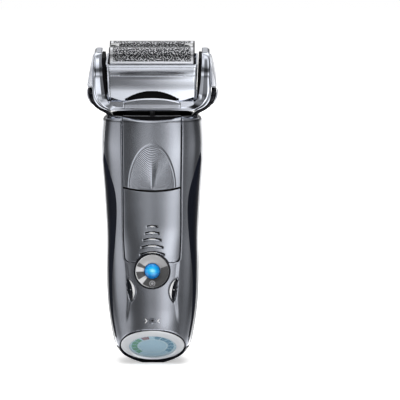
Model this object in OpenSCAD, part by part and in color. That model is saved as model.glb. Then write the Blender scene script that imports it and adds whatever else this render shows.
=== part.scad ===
// Electric foil shaver: waisted body on a slanted base, tilting head with a
// lift-off foil cassette, linear motor with two drive pins, pop-up trimmer.
// Millimetres, +Z up, -Y is the shaver's front, origin under the foot.

/* [Body] */
// Height of the body shells' top edge above the foot
body_h = 126.6; // [124:0.2:128]
// Half-width of the flat foot
foot_half_w = 7.0; // [6.4:0.1:8]
// Half-width of the body at the top of the base
heel_half_w = 18.7; // [18.4:0.1:19.2]
// Half-width of the body at its waist
waist_half_w = 23.2; // [22.8:0.1:24]
// Half-width of the body at its shoulder
shoulder_half_w = 25.9; // [25.5:0.1:26.6]
// Half-width of the body at its top edge
neck_half_w = 24.1; // [23.8:0.1:24.6]
// Distance from the centre plane to the lower front of the body
heel_front = 17.5; // [17.3:0.1:18]
// Distance from the centre plane to the front of the waist
waist_front = 16.6; // [16.4:0.1:17.2]
// Distance from the centre plane to the front of the top edge
neck_front = 16.2; // [16:0.1:16.8]
// Distance from the centre plane to the back of the body
body_back = 17.6; // [17.4:0.1:18.2]
// Roundness of the body's section: 2 is an ellipse, more is squarer
section_power = 2.7; // [2.6:0.05:2.9]
// Thickness of the body shells
wall = 2.0; // [1.7:0.1:2.2]

/* [Base and display] */
// Height of the black base under the shells
base_h = 9.0; // [8.4:0.1:9.6]
// Thickness of the rubber seal between the base and the shells
seal_t = 0.6; // [0.4:0.1:0.9]
// Thickness of the floor under the base
base_floor = 2.5; // [2.1:0.1:3]
// Height where the slanted display face meets the front
slant_top = 19.4; // [19.2:0.1:20]
// Lean of the display face from the vertical, in degrees
slant_angle = 35; // [34:0.5:36.5]
// Half-width of the display's silver ring
bezel_half_w = 16.1; // [15.6:0.1:16.3]
// Half-height of the display's silver ring along the slant
bezel_half_h = 10.5; // [10.2:0.1:10.6]
// Half-width of the display's window
window_half_w = 11.8; // [11.2:0.1:12.4]
// Half-height of the display's window along the slant
window_half_h = 7.6; // [7.1:0.1:7.8]
// Distance of the window's centre below the ring's centre
window_drop = 1.6; // [1:0.1:1.8]
// Thickness of the silver ring and of the window
bezel_t = 1.5; // [1.2:0.1:1.8]
// Thickness of the display panel
display_t = 0.8; // [0.6:0.1:1.2]

/* [Front panels] */
// Half-width of the recess for the front panels at its top
panel_half_w = 14.9; // [14.6:0.1:15.1]
// Height of the lower end of the front panels
panel_bottom = 53.4; // [52.6:0.2:54.2]
// Height of the joint between the upper and the lower panel
panel_joint = 89.4; // [88:0.2:91]
// Thickness of the front panels
panel_t = 1.6; // [1.4:0.1:1.8]
// Depth of the shallow trough down the middle of the panels
trough_depth = 0.9; // [0.6:0.1:1.1]
// Travel of the upper panel, which slides up to lock the head
slide_travel = 3.0; // [2.5:0.1:3.2]

/* [Grips and rails] */
// Height of the lower end of the grips
grip_bottom = 14.0; // [13.4:0.2:15]
// Height of the upper tip of the grips
grip_top = 111.5; // [110:0.5:112.5]
// Half-width at which the grips start in the waist
grip_edge_half_w = 17.8; // [17.5:0.1:18.2]
// Thickness of the grips and of the side rails
grip_t = 1.2; // [1:0.1:1.4]
// Visible width of the side rails beside the grips
rail_w = 1.0; // [0.8:0.1:1.3]

/* [Controls] */
// Height of the dial's centre
dial_z = 49.2; // [48.8:0.1:49.8]
// Radius of the dial's black ring
dial_r = 9.1; // [8.9:0.1:9.2]
// Width of the dial's black ring
dial_ring_w = 0.7; // [0.5:0.1:1]
// Radius of the power button
power_r = 3.9; // [3.6:0.1:4.2]
// Height of the middle of the minus and plus buttons
side_button_z = 39.6; // [39.2:0.1:39.8]
// Length of the minus and plus buttons
side_button_l = 11.7; // [11:0.1:12.2]
// Bulge of the minus and plus buttons
side_button_bulge = 2.9; // [2.6:0.1:3]
// Crown of their outer edges
side_button_crown = 0.6; // [0.4:0.1:0.8]
// Distance of the minus and plus buttons' outer edges from the middle
side_button_x = 11.5; // [11.4:0.1:11.8]
// Height of the reset button
reset_z = 24.0; // [23.7:0.1:24.4]
// Radius of the reset button
reset_r = 0.7; // [0.6:0.05:0.85]
// Travel of every push button
button_travel = 0.5; // [0.4:0.05:0.6]

/* [Inside] */
// Thickness of the chassis plate
chassis_t = 3.0; // [2.7:0.1:3.2]
// Height of the lower edge of the chassis
chassis_bottom = 16.0; // [15.5:0.1:16.5]
// Radius of the rechargeable cell
cell_r = 7.0; // [6.7:0.1:7.1]
// Length of the rechargeable cell
cell_l = 50.0; // [48:0.5:50.5]
// Half-width of the circuit board
board_half_w = 13.0; // [12.8:0.1:13.2]
// Thickness of the circuit board
board_t = 1.2; // [1:0.1:1.6]
// Radius of the housing screws' shanks
screw_r = 1.0; // [0.9:0.05:1.1]
// Distance of the housing screws from the middle
screw_x = 16.4; // [16.3:0.1:16.5]
// Half-width of the motor's iron core
core_half_w = 14.0; // [13.6:0.1:14.4]
// Half-depth of the motor's iron core
core_half_d = 6.0; // [5.7:0.1:6.3]
// Height of the motor's iron core
core_h = 13.0; // [12.5:0.1:13.5]
// Stroke of each mover to either side
stroke = 1.0; // [0.8:0.05:1.1]
// Radius of the drive pins
pin_r = 1.25; // [1.15:0.05:1.3]
// Distance of each drive pin from the centre plane
pin_y = 2.4; // [2.35:0.05:2.5]

/* [Neck] */
// Height of the head's tilt axis above the shells' top edge
pivot_rise = 8.7; // [8.6:0.1:9.9]
// Depth of the black deck below the shells' top edge
deck_drop = 2.2; // [2:0.1:2.8]
// Thickness of the black deck
deck_t = 5.4; // [5:0.1:5.8]
// Half-depth of the yoke's arms
yoke_half_d = 4.8; // [4.5:0.1:5]
// Thickness of the yoke's arms beside the head
yoke_t = 2.5; // [2.4:0.1:2.7]
// Radius of the pivot pins
pivot_r = 2.0; // [1.7:0.1:2.2]
// Radius of the release buttons
release_r = 4.3; // [4:0.1:4.5]
// Travel of the release buttons
release_travel = 1.2; // [0.9:0.1:1.3]

/* [Head] */
// Lean of the head towards the front at rest, in degrees
lean = 10; // [7:1:11]
// Half-width of the chrome frame at the tilt axis
frame_half_w = 29.4; // [29.3:0.1:29.7]
// Half-width inside the chrome frame at its floor
frame_inner_w = 22.3; // [22.2:0.1:22.6]
// Half-depth of the chrome frame
frame_half_d = 12.6; // [12.5:0.1:12.8]
// Height of the frame's arms above the tilt axis
frame_top = 24.6; // [24:0.1:25.2]
// Depth of the frame's rounded bottom below the tilt axis
frame_drop = 4.2; // [3.9:0.1:4.3]
// Height of the frame's floor above the tilt axis
floor_z = 1.0; // [0.8:0.1:1.2]
// Half-width of the foil cassette at its floor
cassette_half_w = 21.9; // [21.6:0.1:22]
// Half-depth of the foil cassette
cassette_half_d = 12.5; // [12.3:0.1:12.6]
// Height of the cassette's upper rim above the tilt axis
cassette_top = 19.5; // [19.2:0.1:19.6]
// Thickness of the cassette's side walls
cassette_wall = 1.2; // [1:0.1:1.3]

/* [Foils and cutters] */
// Radius of the foils' arch
foil_r = 4.6; // [4.5:0.05:4.7]
// Thickness of the foils
foil_t = 0.2; // [0.15:0.05:0.25]
// Half-length of the foils
foil_half_l = 20.7; // [20.4:0.1:20.8]
// Distance of the foils' arch centres from the middle
foil_y = 6.4; // [6.35:0.05:6.45]
// Height of the foils' arch centres above the tilt axis
foil_z = 22.4; // [22.2:0.1:22.7]
// Half-depth of the middle trimmer
comb_half_d = 1.5; // [1.4:0.05:1.55]
// Pitch of the middle trimmer's teeth
tooth_pitch = 1.7; // [1.6:0.05:1.9]
// Pitch of the cutters' blades
blade_pitch = 1.75; // [1.65:0.05:2.1]
// Half-length of the cutters
cutter_half_l = 17.5; // [17:0.1:18]

/* [Long-hair trimmer] */
// Half-width of the long-hair trimmer
trimmer_half_w = 15.0; // [14.6:0.1:15.1]
// Length of the trimmer's sliding carriage
trimmer_l = 32.0; // [31:0.2:32.4]
// Travel of the carriage up to the cutting position
trimmer_travel = 8.0; // [7:0.1:8.4]
// Stroke of the trimmer's moving blade to either side
trimmer_stroke = 0.8; // [0.6:0.05:0.9]

/* [Clearances] */
// Gap round a piece that slides in another
slide_gap = 0.15; // [0.1:0.05:0.2]
// Gap round a pin that turns in a bore
turn_gap = 0.05; // [0.03:0.01:0.08]
// Gap between fixed pieces that don't carry each other
part_gap = 0.2; // [0.1:0.05:0.3]

/* [Hidden] */
$fn = 48;
far = 40;
slack = 0.01;

// Colours
shell_grey = "#8b8d95";
black = "#15161c";
silver = "#d3d6db";
steel = "#b9bcc2";

// Heights that place the body's parts
shell_bottom = base_h + seal_t;
waist_z = 68;
shoulder_z = body_h - 15.8;
edge_angle = 96;
deck_top = body_h - deck_drop;
pivot_z = body_h + pivot_rise;
deck_bottom = deck_top - deck_t;

// Half-width, front and back of the body's section against height
half_w_line = [[0, foot_half_w], [1, foot_half_w + 2.3], [2.2, foot_half_w + 4.9],
    [4.7, heel_half_w - 3.1], [base_h, heel_half_w], [17.5, heel_half_w + 2.1],
    [32, waist_half_w - 0.5], [50, waist_half_w + 0.1], [waist_z, waist_half_w],
    [89, waist_half_w + 1.15], [shoulder_z, shoulder_half_w], [body_h - 3, neck_half_w + 0.9],
    [body_h, neck_half_w]];
front_line = [[0, 5], [2.2, 9.5], [6, 15.4], [12, heel_front - 0.2], [20, heel_front],
    [45, waist_front + 0.3], [waist_z, waist_front], [105, neck_front + 1.1],
    [body_h - 3, neck_front + 0.5], [body_h, neck_front]];
back_line = [[0, 12.6], [2.2, 14], [6, 15.6], [20, body_back - 1], [waist_z, body_back - 0.3],
    [105, body_back + 0.3], [body_h, body_back]];

// Smooth curve through a line of [height, value] stations
function span_of(t, z, i = 0) = i >= len(t) - 2 || z < t[i + 1][0] ? i : span_of(t, z, i + 1);
function rise(t, i, j) = (t[j][1] - t[i][1]) / (t[j][0] - t[i][0]);
function slope_at(t, i) = i == 0 ? rise(t, 0, 1) : i == len(t) - 1 ? rise(t, i - 1, i)
    : rise(t, i - 1, i + 1);
function smooth(t, z) = let (
    i = span_of(t, z), h = t[i + 1][0] - t[i][0], u = (z - t[i][0]) / h,
    m0 = slope_at(t, i) * h, m1 = slope_at(t, i + 1) * h)
    (2 * u ^ 3 - 3 * u ^ 2 + 1) * t[i][1] + (u ^ 3 - 2 * u ^ 2 + u) * m0
    + (3 * u ^ 2 - 2 * u ^ 3) * t[i + 1][1] + (u ^ 3 - u ^ 2) * m1;

// Point of the body's skin at height z and angle a from the front, d inside it
function rounded(v) = sign(v) * abs(v) ^ (2 / section_power);
function depth_of(z, a) = cos(a) > 0 ? smooth(front_line, z) : smooth(back_line, z);
function skin(z, a, d = 0) = [
    (smooth(half_w_line, z) - d) * rounded(sin(a)), -(depth_of(z, a) - d) * rounded(cos(a)), z];
// Angle at which the skin stands x off the centre plane
function angle_of(z, x) = asin(min(1, (x / smooth(half_w_line, z)) ^ (section_power / 2)));
// Distance of the skin from the centre plane at a given x, along a front or back line
function skin_y(line, z, x) = smooth(line, z)
    * (1 - (abs(x) / smooth(half_w_line, z)) ^ section_power) ^ (1 / section_power);

function steps(a, b, n) = [for (i = [0:n]) a + (b - a) * i / n];
function unique(v) = [for (i = [0:len(v) - 1]) if (i == 0 || v[i] > v[i - 1] + slack) v[i]];
// Closed solid through rings of points that all have the same count
// Solid through rings of points; crossed turns the diagonals of its faces over
module loft(rings, crossed = false) {
    n = len(rings[0]);
    m = len(rings);
    polyhedron(
        points = [for (r = rings) each r],
        faces = [
            [for (i = [0:n - 1]) i],
            [for (i = [n - 1:-1:0]) (m - 1) * n + i],
            for (k = [0:m - 2], i = [0:n - 1]) let (j = (i + 1) % n)
                each crossed ? [[k * n + i, (k + 1) * n + i, k * n + j],
                    [k * n + j, (k + 1) * n + i, (k + 1) * n + j]]
                    : [[k * n + i, (k + 1) * n + j, k * n + j],
                    [k * n + i, (k + 1) * n + i, (k + 1) * n + j]]
        ],
        convexity = 8);
}
// Heights of the shells' rings: the grips' ends fall on rings of their own
levels = unique(concat(steps(shell_bottom, grip_bottom, 2), steps(grip_bottom, grip_top, 15),
    steps(grip_top, body_h, 4)));
grip_levels = [for (z = levels) if (z >= grip_bottom - slack && z <= grip_top + slack) z];
around = steps(-180, 170, 35);
// Solid of everything inside the middle of the shells' walls, just short of their ends
module inside_shells() {
    loft([for (z = steps(shell_bottom + 0.3, body_h - 0.3, 9))
        [for (a = steps(-180, 165, 23)) skin(z, a, grip_t + wall / 4)]]);
}
module skin_section(z, d) {
    polygon([for (a = around) let (p = skin(z, a, d)) [p[0], p[1]]]);
}
module along_y(x, z, r, y0, y1) {
    translate([x, y0, z]) rotate([-90, 0, 0]) cylinder(r = r, h = y1 - y0);
}
module along_x(y, z, r, x0, x1) {
    translate([x0, y, z]) rotate([0, 90, 0]) cylinder(r = r, h = x1 - x0);
}
// Box given by its half-width across X and its limits in Y and Z
module bar(half_w, y0, y1, z0, z1) {
    translate([-half_w, y0, z0]) cube([2 * half_w, y1 - y0, z1 - z0]);
}
// Drawing in X and Z, extruded from y0 to y1
module face_on(y0, y1) {
    translate([0, y1, 0]) rotate([90, 0, 0]) linear_extrude(y1 - y0) children();
}
// Drawing in Y and Z, extruded from x0 to x1
module side_on(x0, x1) {
    translate([x0, 0, 0]) rotate([90, 0, 90]) linear_extrude(x1 - x0) children();
}
// Hole along Y with flat sides, none of them inside radius r
module flat_sided(x, z, r, y0, y1) {
    sides = 36;
    corner = r / cos(180 / sides);
    face_on(y0, y1) translate([x, z])
        polygon([for (t = [0:sides - 1]) corner * [cos(360 * t / sides), sin(360 * t / sides)]]);
}
// Everything past height z, from a face that falls away from the middle by a hair
end_rake = 0.1;
module past_end(z, way) {
    face_on(-far, far) polygon([[0, z], [far, z - way * end_rake], [far, z + way * far],
        [-far, z + way * far], [-far, z - way * end_rake]]);
}
module both_sides() {
    children();
    mirror([1, 0, 0]) children();
}

// ---- Edges of the grips and the side rails, as angles round the body ----
grip_line = [[shell_bottom, heel_half_w - 0.6], [grip_bottom, grip_edge_half_w + 0.2],
    [26, grip_edge_half_w + 1.9], [45, grip_edge_half_w + 2.3],
    [waist_z - 3.4, grip_edge_half_w + 0.7], [78, grip_edge_half_w - 0.1],
    [88, grip_edge_half_w + 0.5], [98.8, grip_edge_half_w + 3.4],
    [grip_top, shoulder_half_w - 1.2], [body_h, neck_half_w]];
rail_line = [[shell_bottom, rail_w + 0.5], [26, rail_w], [grip_top - 8, rail_w],
    [grip_top + 2, rail_w + 0.8], [body_h, rail_w + 0.6]];
hairline = 0.8;
function rail_angle(z) = angle_of(z, smooth(half_w_line, z) - smooth(rail_line, z));
function grip_angle(z) = min(angle_of(z, smooth(grip_line, z)), rail_angle(z) - hairline);

// ---- Recess of the front panels ----
panel_line = [[panel_bottom - 2, panel_half_w - 1.5], [panel_bottom + 4, panel_half_w - 0.9],
    [waist_z, panel_half_w - 0.45], [panel_joint, panel_half_w - 0.4], [body_h, panel_half_w]];
panel_corner = 2.6;
seat = trough_depth + panel_t;
// Half-width of the panels at height z, rounded at their lower corners, g narrower
function panel_edge(z, g) = let (h = min(panel_corner, max(0, z - panel_bottom - g)))
    smooth(panel_line, z) - g - panel_corner + sqrt(panel_corner ^ 2 - (panel_corner - h) ^ 2);
// Face of the panels at x, d below it: a trough that fades out at the panels' edges
function panel_y(z, x, d) = d - skin_y(front_line, z, x)
    + trough_depth * (1 - (min(abs(x), panel_half_w) / panel_half_w) ^ 2);
function panel_ring(z, w, d) = concat(
    [for (x = steps(-w, w, 12)) [x, panel_y(z, x, d[0]), z]],
    [for (x = steps(w, -w, 12)) [x, panel_y(z, x, d[1]), z]]);
panel_levels = concat([for (u = [0.3, 0.7, 1.3, 2.6]) panel_bottom + u],
    steps(panel_bottom + 6, body_h, 16));
// The lowest ring is narrow, so that the dial cuts all of the flat end away
module panel_solid(g, d, top = 0) {
    loft(concat([panel_ring(panel_bottom + g, panel_half_w / 2, d)],
        [for (z = concat([for (z = panel_levels) if (z > panel_bottom + g + slack) z],
            top > 0 ? [body_h + top] : [])) panel_ring(z, panel_edge(z, g), d)]));
}
joint_gap = 0.7;
joint_sag = 2.0;
// Everything above the joint between the panels, which sags towards the middle
module above_joint(g) {
    r = (panel_half_w ^ 2 + joint_sag ^ 2) / (2 * joint_sag);
    translate([0, 0, panel_joint + r]) rotate([90, 0, 0]) cylinder(r = r + g, h = far, $fn = 180);
}

// ---- Places of the controls ----
dial_face = -smooth(front_line, dial_z) - 0.1;
dial_floor = dial_face + 2.9;
board_setback = 7.7;
board_margin = 5.4;
board_y = -chassis_t / 2 - board_setback;
board_bottom = 20;
board_top = panel_joint - board_margin;
switch_h = 2.0;
press_y = board_y - switch_h - button_travel - turn_gap;
side_button_y = -skin_y(front_line, side_button_z, side_button_x) - 0.3;
side_button_lean = 9.5;
// Outer edge nearly straight, inner edge bulging towards the dial; g bigger all round
module side_button_shape(side, g) {
    s = side_button_bulge;
    l = side_button_l / 2 + g;
    r = (l ^ 2 + s ^ 2) / (2 * s);
    half = asin(l / r);
    translate([side * side_button_x, side_button_z]) rotate(-side * side_button_lean) polygon([
        for (t = steps(-1, 1, 6)) [side * (g + side_button_crown * (1 - t ^ 2)), t * l],
        for (t = steps(half, -half, 12)) [side * (r - s - g - r * cos(t)), r * sin(t)]]);
}
screw_zs = [34, panel_joint - 3.4];
screw_depth = 8;
boss_r = screw_r + 1.9;
head_y = body_back - 5;
module screw_bores(r, y0, y1) {
    for (x = [-screw_x, screw_x], z = screw_zs) along_y(x, z, r, y0, y1);
}
peg_r = 1.5;
peg_zs = [panel_bottom + 12, panel_joint - 12];
tongue_half_w = 2;
tongue_l = 8;
lock_z = panel_joint + 14;
inner_front = -12.2;

// ---- The slanted display: x across, y up the slant, z out of the face ----
rim_w = 0.4;
slab_t = 4.0;
slant_mid = slant_top - (bezel_half_h + rim_w) * cos(slant_angle);
slant_y = -heel_front + (bezel_half_h + rim_w) * sin(slant_angle);
module on_slant() {
    translate([0, slant_y, slant_mid]) rotate([90 + slant_angle, 0, 0]) children();
}
module slant_plate(a, b, z0, z1, drop = 0) {
    on_slant() translate([0, -drop, z0]) linear_extrude(z1 - z0)
        polygon([for (t = [0:7.5:359]) [a * cos(t), b * sin(t)]]);
}
module slant_cut() {
    on_slant() translate([-far, -far, 0]) cube([2 * far, 2 * far, far]);
}

// ---- Shells ----
// Extra depth of the front shell's wall behind the panels and the dial
function behind(x, z) = (seat - 0.4) * max(0, min(1, (panel_half_w + 3 - abs(x)) / 2))
    * max(0, min(1, (z - dial_z + dial_r + 4) / 3));
function shell_ring(z) = let (e = grip_angle(z), r = rail_angle(z)) concat(
    [for (a = steps(-e, e, 18)) skin(z, a)],
    [for (a = steps(e, r, 3)) skin(z, a, grip_t)],
    [for (a = steps(r, edge_angle, 2)) if (a > r) skin(z, a, grip_t)],
    [for (a = steps(edge_angle, -edge_angle, 22)) let (p = skin(z, a, wall))
        [p[0], p[1] < -wall ? min(-wall, p[1] + behind(p[0], z)) : p[1], z]],
    [for (a = steps(-edge_angle, -r, 2)) skin(z, a, grip_t)],
    [for (a = steps(-r, -e, 3)) if (a > -r) skin(z, a, grip_t)]);
module front_shell() {
    color(shell_grey) difference() {
        union() {
            loft([for (z = levels) shell_ring(z)]);
            intersection() {
                screw_bores(boss_r, -heel_front + wall, -chassis_t / 2);
                inside_shells();
            }
        }
        panel_solid(-slide_gap, [-heel_front, seat], 2);
        past_end(shell_bottom, -1);
        slant_plate(bezel_half_w + rim_w + part_gap, bezel_half_h + rim_w + part_gap, -12, far);
        slant_cut();
        flat_sided(0, dial_z, dial_r, -far, dial_floor);
        along_y(0, dial_z, power_r + slide_gap, -far, 0);
        along_y(0, reset_z, reset_r + slide_gap, -far, 0);
        flat_sided(0, reset_z, 2 * reset_r, -far, 0.5 - skin_y(front_line, reset_z, 0));
        for (side = [-1, 1]) face_on(-far, 0) side_button_shape(side, slide_gap);
        screw_bores(screw_r, -screw_depth, 0);
        for (z = peg_zs) along_y(0, z, peg_r, -far, 0);
        bar(tongue_half_w + slide_gap, -far, 0, lock_z - slide_gap,
            lock_z + tongue_l + slide_travel + slide_gap);
    }
}
bed_y = body_back - 3.2;
bed_t = 1.6;
trimmer_bottom = body_h - trimmer_l;
tongue_z = trimmer_bottom + 6;
function back_ring(z) = concat(
    [for (a = steps(edge_angle, 360 - edge_angle, 20)) skin(z, a)],
    [for (a = steps(360 - edge_angle, edge_angle, 20)) skin(z, a, wall)]);
module back_shell() {
    color(black) difference() {
        union() {
            loft([for (z = levels) back_ring(z)]);
            intersection() {
                union() {
                    screw_bores(boss_r, chassis_t / 2, body_back - wall);
                    bar(trimmer_half_w + 1.2, bed_y - bed_t, bed_y + wall, trimmer_bottom - wall, body_h);
                }
                inside_shells();
            }
        }
        past_end(body_h, 1);
        bar(trimmer_half_w + slide_gap, bed_y, far, trimmer_bottom - slide_gap, body_h + 1);
        bar(tongue_half_w + slide_gap, bed_y - wall, far, tongue_z - slide_gap,
            tongue_z + tongue_l + trimmer_travel + slide_gap);
        screw_bores(screw_r, 0, far);
        screw_bores(screw_r * 2, head_y, far);
        for (x = contact_xs) along_y(x, contact_z, contact_r, 0, far);
    }
}
contact_xs = [-5, 5];
contact_z = 18;
contact_r = 1.8;
module charging_contacts() {
    color(steel) for (x = contact_xs)
        along_y(x, contact_z, contact_r, body_back - 4.2, skin_y(back_line, contact_z, x));
}

// ---- Grips and rails ----
// The right-hand ones have crossed diagonals, so that their inner faces lie flush on the shell's
module grip(crossed) {
    color(black) loft([for (z = grip_levels) let (e = grip_angle(z), r = rail_angle(z)) concat(
        [for (a = steps(e, r, 3)) skin(z, a)], [for (a = steps(r, e, 3)) skin(z, a, grip_t)])], crossed);
}
module grip_right() {
    grip(true);
}
module grip_left() {
    mirror([1, 0, 0]) grip(false);
}
module side_rail(crossed) {
    color(silver) loft([for (z = levels) let (r = rail_angle(z)) concat(
        [for (a = steps(r, edge_angle, 2)) skin(z, a)],
        [for (a = steps(edge_angle, r, 2)) skin(z, a, grip_t)])], crossed);
}
module side_rail_right() {
    side_rail(true);
}
module side_rail_left() {
    mirror([1, 0, 0]) side_rail(false);
}

// ---- Base ----
socket_y = 5.0;
socket_half_w = 4.2;
socket_half_d = 3.0;
socket_wall = 0.9;
socket_top = 10.5;
pin_xs = [-2.2, 2.2];
plug_pin_r = 0.9;
pin_root_r = 0.7;
pin_bottom = 2;
pin_free_l = 6.5;
post_x = 8;
module base_solid(d, z0) {
    loft([for (z = unique([z0, for (z = [1, 2.2, 3.4, 4.7, 6, 7.5]) if (z > z0) z, base_h]))
        [for (a = around) skin(z, a, d)]]);
}
module base_cap() {
    color(black) difference() {
        union() {
            difference() {
                base_solid(0, 0);
                base_solid(wall, base_floor);
                translate([0, 0, base_h - slack]) linear_extrude(1) skin_section(base_h, wall);
            }
            difference() {
                slant_plate(bezel_half_w + rim_w, bezel_half_h + rim_w, -slab_t, 0);
                bar(far, -far, far, -far, 0);
            }
            for (x = [-post_x, post_x]) translate([x, 0, 0])
                bar(2, -chassis_t / 2, chassis_t / 2, base_floor - 0.5, chassis_bottom);
        }
        slant_cut();
        slant_plate(bezel_half_w, bezel_half_h, -bezel_t, 5);
        slant_plate(window_half_w + 1, window_half_h + 1, -bezel_t - display_t, 5, window_drop);
        bar(socket_half_w + socket_wall, socket_y - socket_half_d - socket_wall,
            socket_y + socket_half_d + socket_wall, -1, socket_top + 1);
    }
}
module base_seal() {
    color("#202127") difference() {
        translate([0, 0, base_h]) linear_extrude(seal_t) difference() {
            skin_section(base_h, part_gap);
            skin_section(base_h, wall);
        }
        slant_cut();
        slant_plate(bezel_half_w + rim_w + part_gap, bezel_half_h + rim_w + part_gap, -12, far);
    }
}
module power_socket() {
    color("#24252b") difference() {
        bar(socket_half_w + socket_wall, socket_y - socket_half_d - socket_wall,
            socket_y + socket_half_d + socket_wall, 0.4, socket_top);
        bar(socket_half_w, socket_y - socket_half_d, socket_y + socket_half_d, -1, socket_top - 1.5);
        for (x = pin_xs) translate([x, socket_y, 0]) cylinder(r = pin_root_r, h = 2 * socket_top);
    }
}
module socket_pins() {
    color(steel) for (x = pin_xs) translate([x, socket_y, pin_bottom]) {
        cylinder(r = plug_pin_r, h = pin_free_l);
        cylinder(r = pin_root_r, h = socket_top);
    }
}

// ---- Display ----
module display_bezel() {
    color(silver) difference() {
        slant_plate(bezel_half_w, bezel_half_h, -bezel_t, 0);
        slant_plate(window_half_w, window_half_h, -bezel_t - 1, 1, window_drop);
    }
}
module display_window() {
    color("#a9c6d2") slant_plate(window_half_w, window_half_h, -bezel_t, -0.2, window_drop);
}
module display_panel() {
    color("#6f8f9c") slant_plate(window_half_w + 1, window_half_h + 1,
        -bezel_t - display_t, -bezel_t, window_drop);
}

// ---- Front panels ----
module thumb_slide() {
    color(shell_grey) {
        intersection() {
            panel_solid(part_gap, [0, seat - slide_gap]);
            above_joint(-joint_gap / 2);
        }
        bar(tongue_half_w, panel_y(lock_z, 0, seat - 0.5), inner_front + 0.4, lock_z, lock_z + tongue_l);
    }
}
module lower_panel() {
    color(shell_grey) {
        difference() {
            panel_solid(part_gap, [0, seat - 0.05]);
            above_joint(joint_gap / 2);
            flat_sided(0, dial_z, dial_r + part_gap, -far, 0);
        }
        for (z = peg_zs) along_y(0, z, peg_r, panel_y(z, 0, seat - 0.5), inner_front + 0.4);
    }
}

// ---- Dial and buttons ----
module dial_ring() {
    color(black) difference() {
        along_y(0, dial_z, dial_r, dial_face, dial_floor);
        along_y(0, dial_z, dial_r - dial_ring_w, -far, 0);
    }
}
module dial_disc() {
    color(silver) difference() {
        along_y(0, dial_z, dial_r - dial_ring_w, dial_face + 0.3, dial_floor);
        along_y(0, dial_z, power_r + slide_gap, -far, 0);
    }
}
button_dome = 0.8;
flange_y = inner_front + 0.1;
// Cylinder up from z = 0 to h, whose top is domed by cap
module domed(r, h, cap) {
    ball_r = (r ^ 2 + cap ^ 2) / (2 * cap);
    rotate_extrude() polygon(concat([[0, 0], [r, 0]],
        [for (t = steps(asin(r / ball_r), 0, 6)) [ball_r * sin(t), h - ball_r * (1 - cos(t))]]));
}
module power_button() {
    color("#1f8fe0") translate([0, press_y, dial_z]) rotate([90, 0, 0]) {
        domed(power_r, press_y - dial_face + 0.4, button_dome);
        cylinder(r = power_r + 0.6, h = press_y - flange_y);
    }
}
module side_button(side) {
    color(black) face_on(side_button_y, press_y) side_button_shape(side, 0);
}
module minus_button() {
    side_button(-1);
}
module plus_button() {
    side_button(1);
}
module reset_button() {
    color(black) along_y(0, reset_z, reset_r, 0.9 - skin_y(front_line, reset_z, 0), press_y);
}

// ---- Electronics and chassis ----
cell_z = 30;
cell_y = cell_r + 0.5;
motor_drop = 26.5;
motor_z = deck_bottom - motor_drop;
motor_top = motor_z + core_h;
standoff_r = 2;
standoff_xs = [-board_half_w + 2.6, board_half_w - 2.6];
standoff_zs = [board_bottom + 4, board_top - 4];
module chassis() {
    color("#5d6066") difference() {
        union() {
            face_on(-chassis_t / 2, chassis_t / 2) polygon(concat(
                [for (z = steps(chassis_bottom, deck_bottom, 20)) [skin(z, 90, wall + part_gap)[0], z]],
                [for (z = steps(deck_bottom, chassis_bottom, 20)) [-skin(z, 90, wall + part_gap)[0], z]]));
            for (z = [cell_z - wall, cell_z + cell_l])
                bar(cell_r, -chassis_t / 2, cell_y + 2, z, z + wall);
            for (x = standoff_xs, z = standoff_zs)
                along_y(x, z, standoff_r, board_y + board_t, 0);
        }
        bar(cell_r + part_gap, -far, far, cell_z, cell_z + cell_l);
        bar(core_half_w, -far, far, motor_z, deck_bottom + 1);
        screw_bores(screw_r, -far, far);
    }
}
module battery() {
    color("#2f7fb5") translate([0, cell_y, cell_z]) cylinder(r = cell_r, h = cell_l);
}
module circuit_board() {
    color("#1f6b3c") bar(board_half_w, board_y, board_y + board_t, board_bottom, board_top);
}
switch_half_w = 2.5;
module tact_switches() {
    color("#3a3c42") for (p = [[0, dial_z], [-10.2, side_button_z], [10.2, side_button_z], [0, reset_z]])
        translate([p[0], 0, p[1]])
            bar(switch_half_w, board_y - switch_h, board_y, -switch_half_w, switch_half_w);
}
module housing_screws() {
    color(steel) difference() {
        union() {
            screw_bores(screw_r, -screw_depth, head_y + 0.5);
            screw_bores(screw_r * 1.9, head_y, head_y + 1.2);
        }
        for (x = [-screw_x, screw_x], z = screw_zs) translate([x, head_y + 0.5, z])
            rotate([-90, 0, 0]) cylinder(r = screw_r * 0.9, h = 1, $fn = 6);
    }
}

// ---- Linear motor ----
leg_half_w = 5;
slot_w = 4;
coil_half_w = leg_half_w + slot_w - part_gap;
coil_half_d = core_half_d + 2;
mover_z = motor_top + 0.5;
mover_t = 4;
spring_x = 12.4;
spring_t = 0.4;
module motor_core() {
    color("#6c6f76") difference() {
        bar(core_half_w, -core_half_d, core_half_d, motor_z, motor_top);
        both_sides() translate([leg_half_w + slot_w / 2, 0, 0])
            bar(slot_w / 2, -far, far, motor_z + 4, motor_top + 1);
    }
}
module motor_coil() {
    color("#b3672c") difference() {
        bar(coil_half_w, -coil_half_d, coil_half_d, motor_z + 4, motor_top - 2);
        bar(leg_half_w, -core_half_d, core_half_d, motor_z, motor_top);
    }
}
module leaf_springs() {
    color(steel) both_sides() translate([spring_x, 0, 0]) {
        bar(spring_t / 2, -core_half_d + 0.3, -0.6, motor_top, mover_z + mover_t + 1);
        bar(spring_t / 2, 0.6, core_half_d - 0.3, motor_top, mover_z + mover_t + 1);
    }
}
module mover(side) {
    color("#9a9da3") {
        translate([0, side * (core_half_d / 2), 0])
            bar(spring_x - stroke - 0.9, -core_half_d / 2 + 0.4, core_half_d / 2 - 0.4,
                mover_z, mover_z + mover_t);
        translate([0, side * pin_y, mover_z]) cylinder(r = pin_r, h = pivot_z + 2.1 - mover_z);
    }
}
module mover_front() {
    mover(-1);
}
module mover_rear() {
    mover(1);
}

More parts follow.
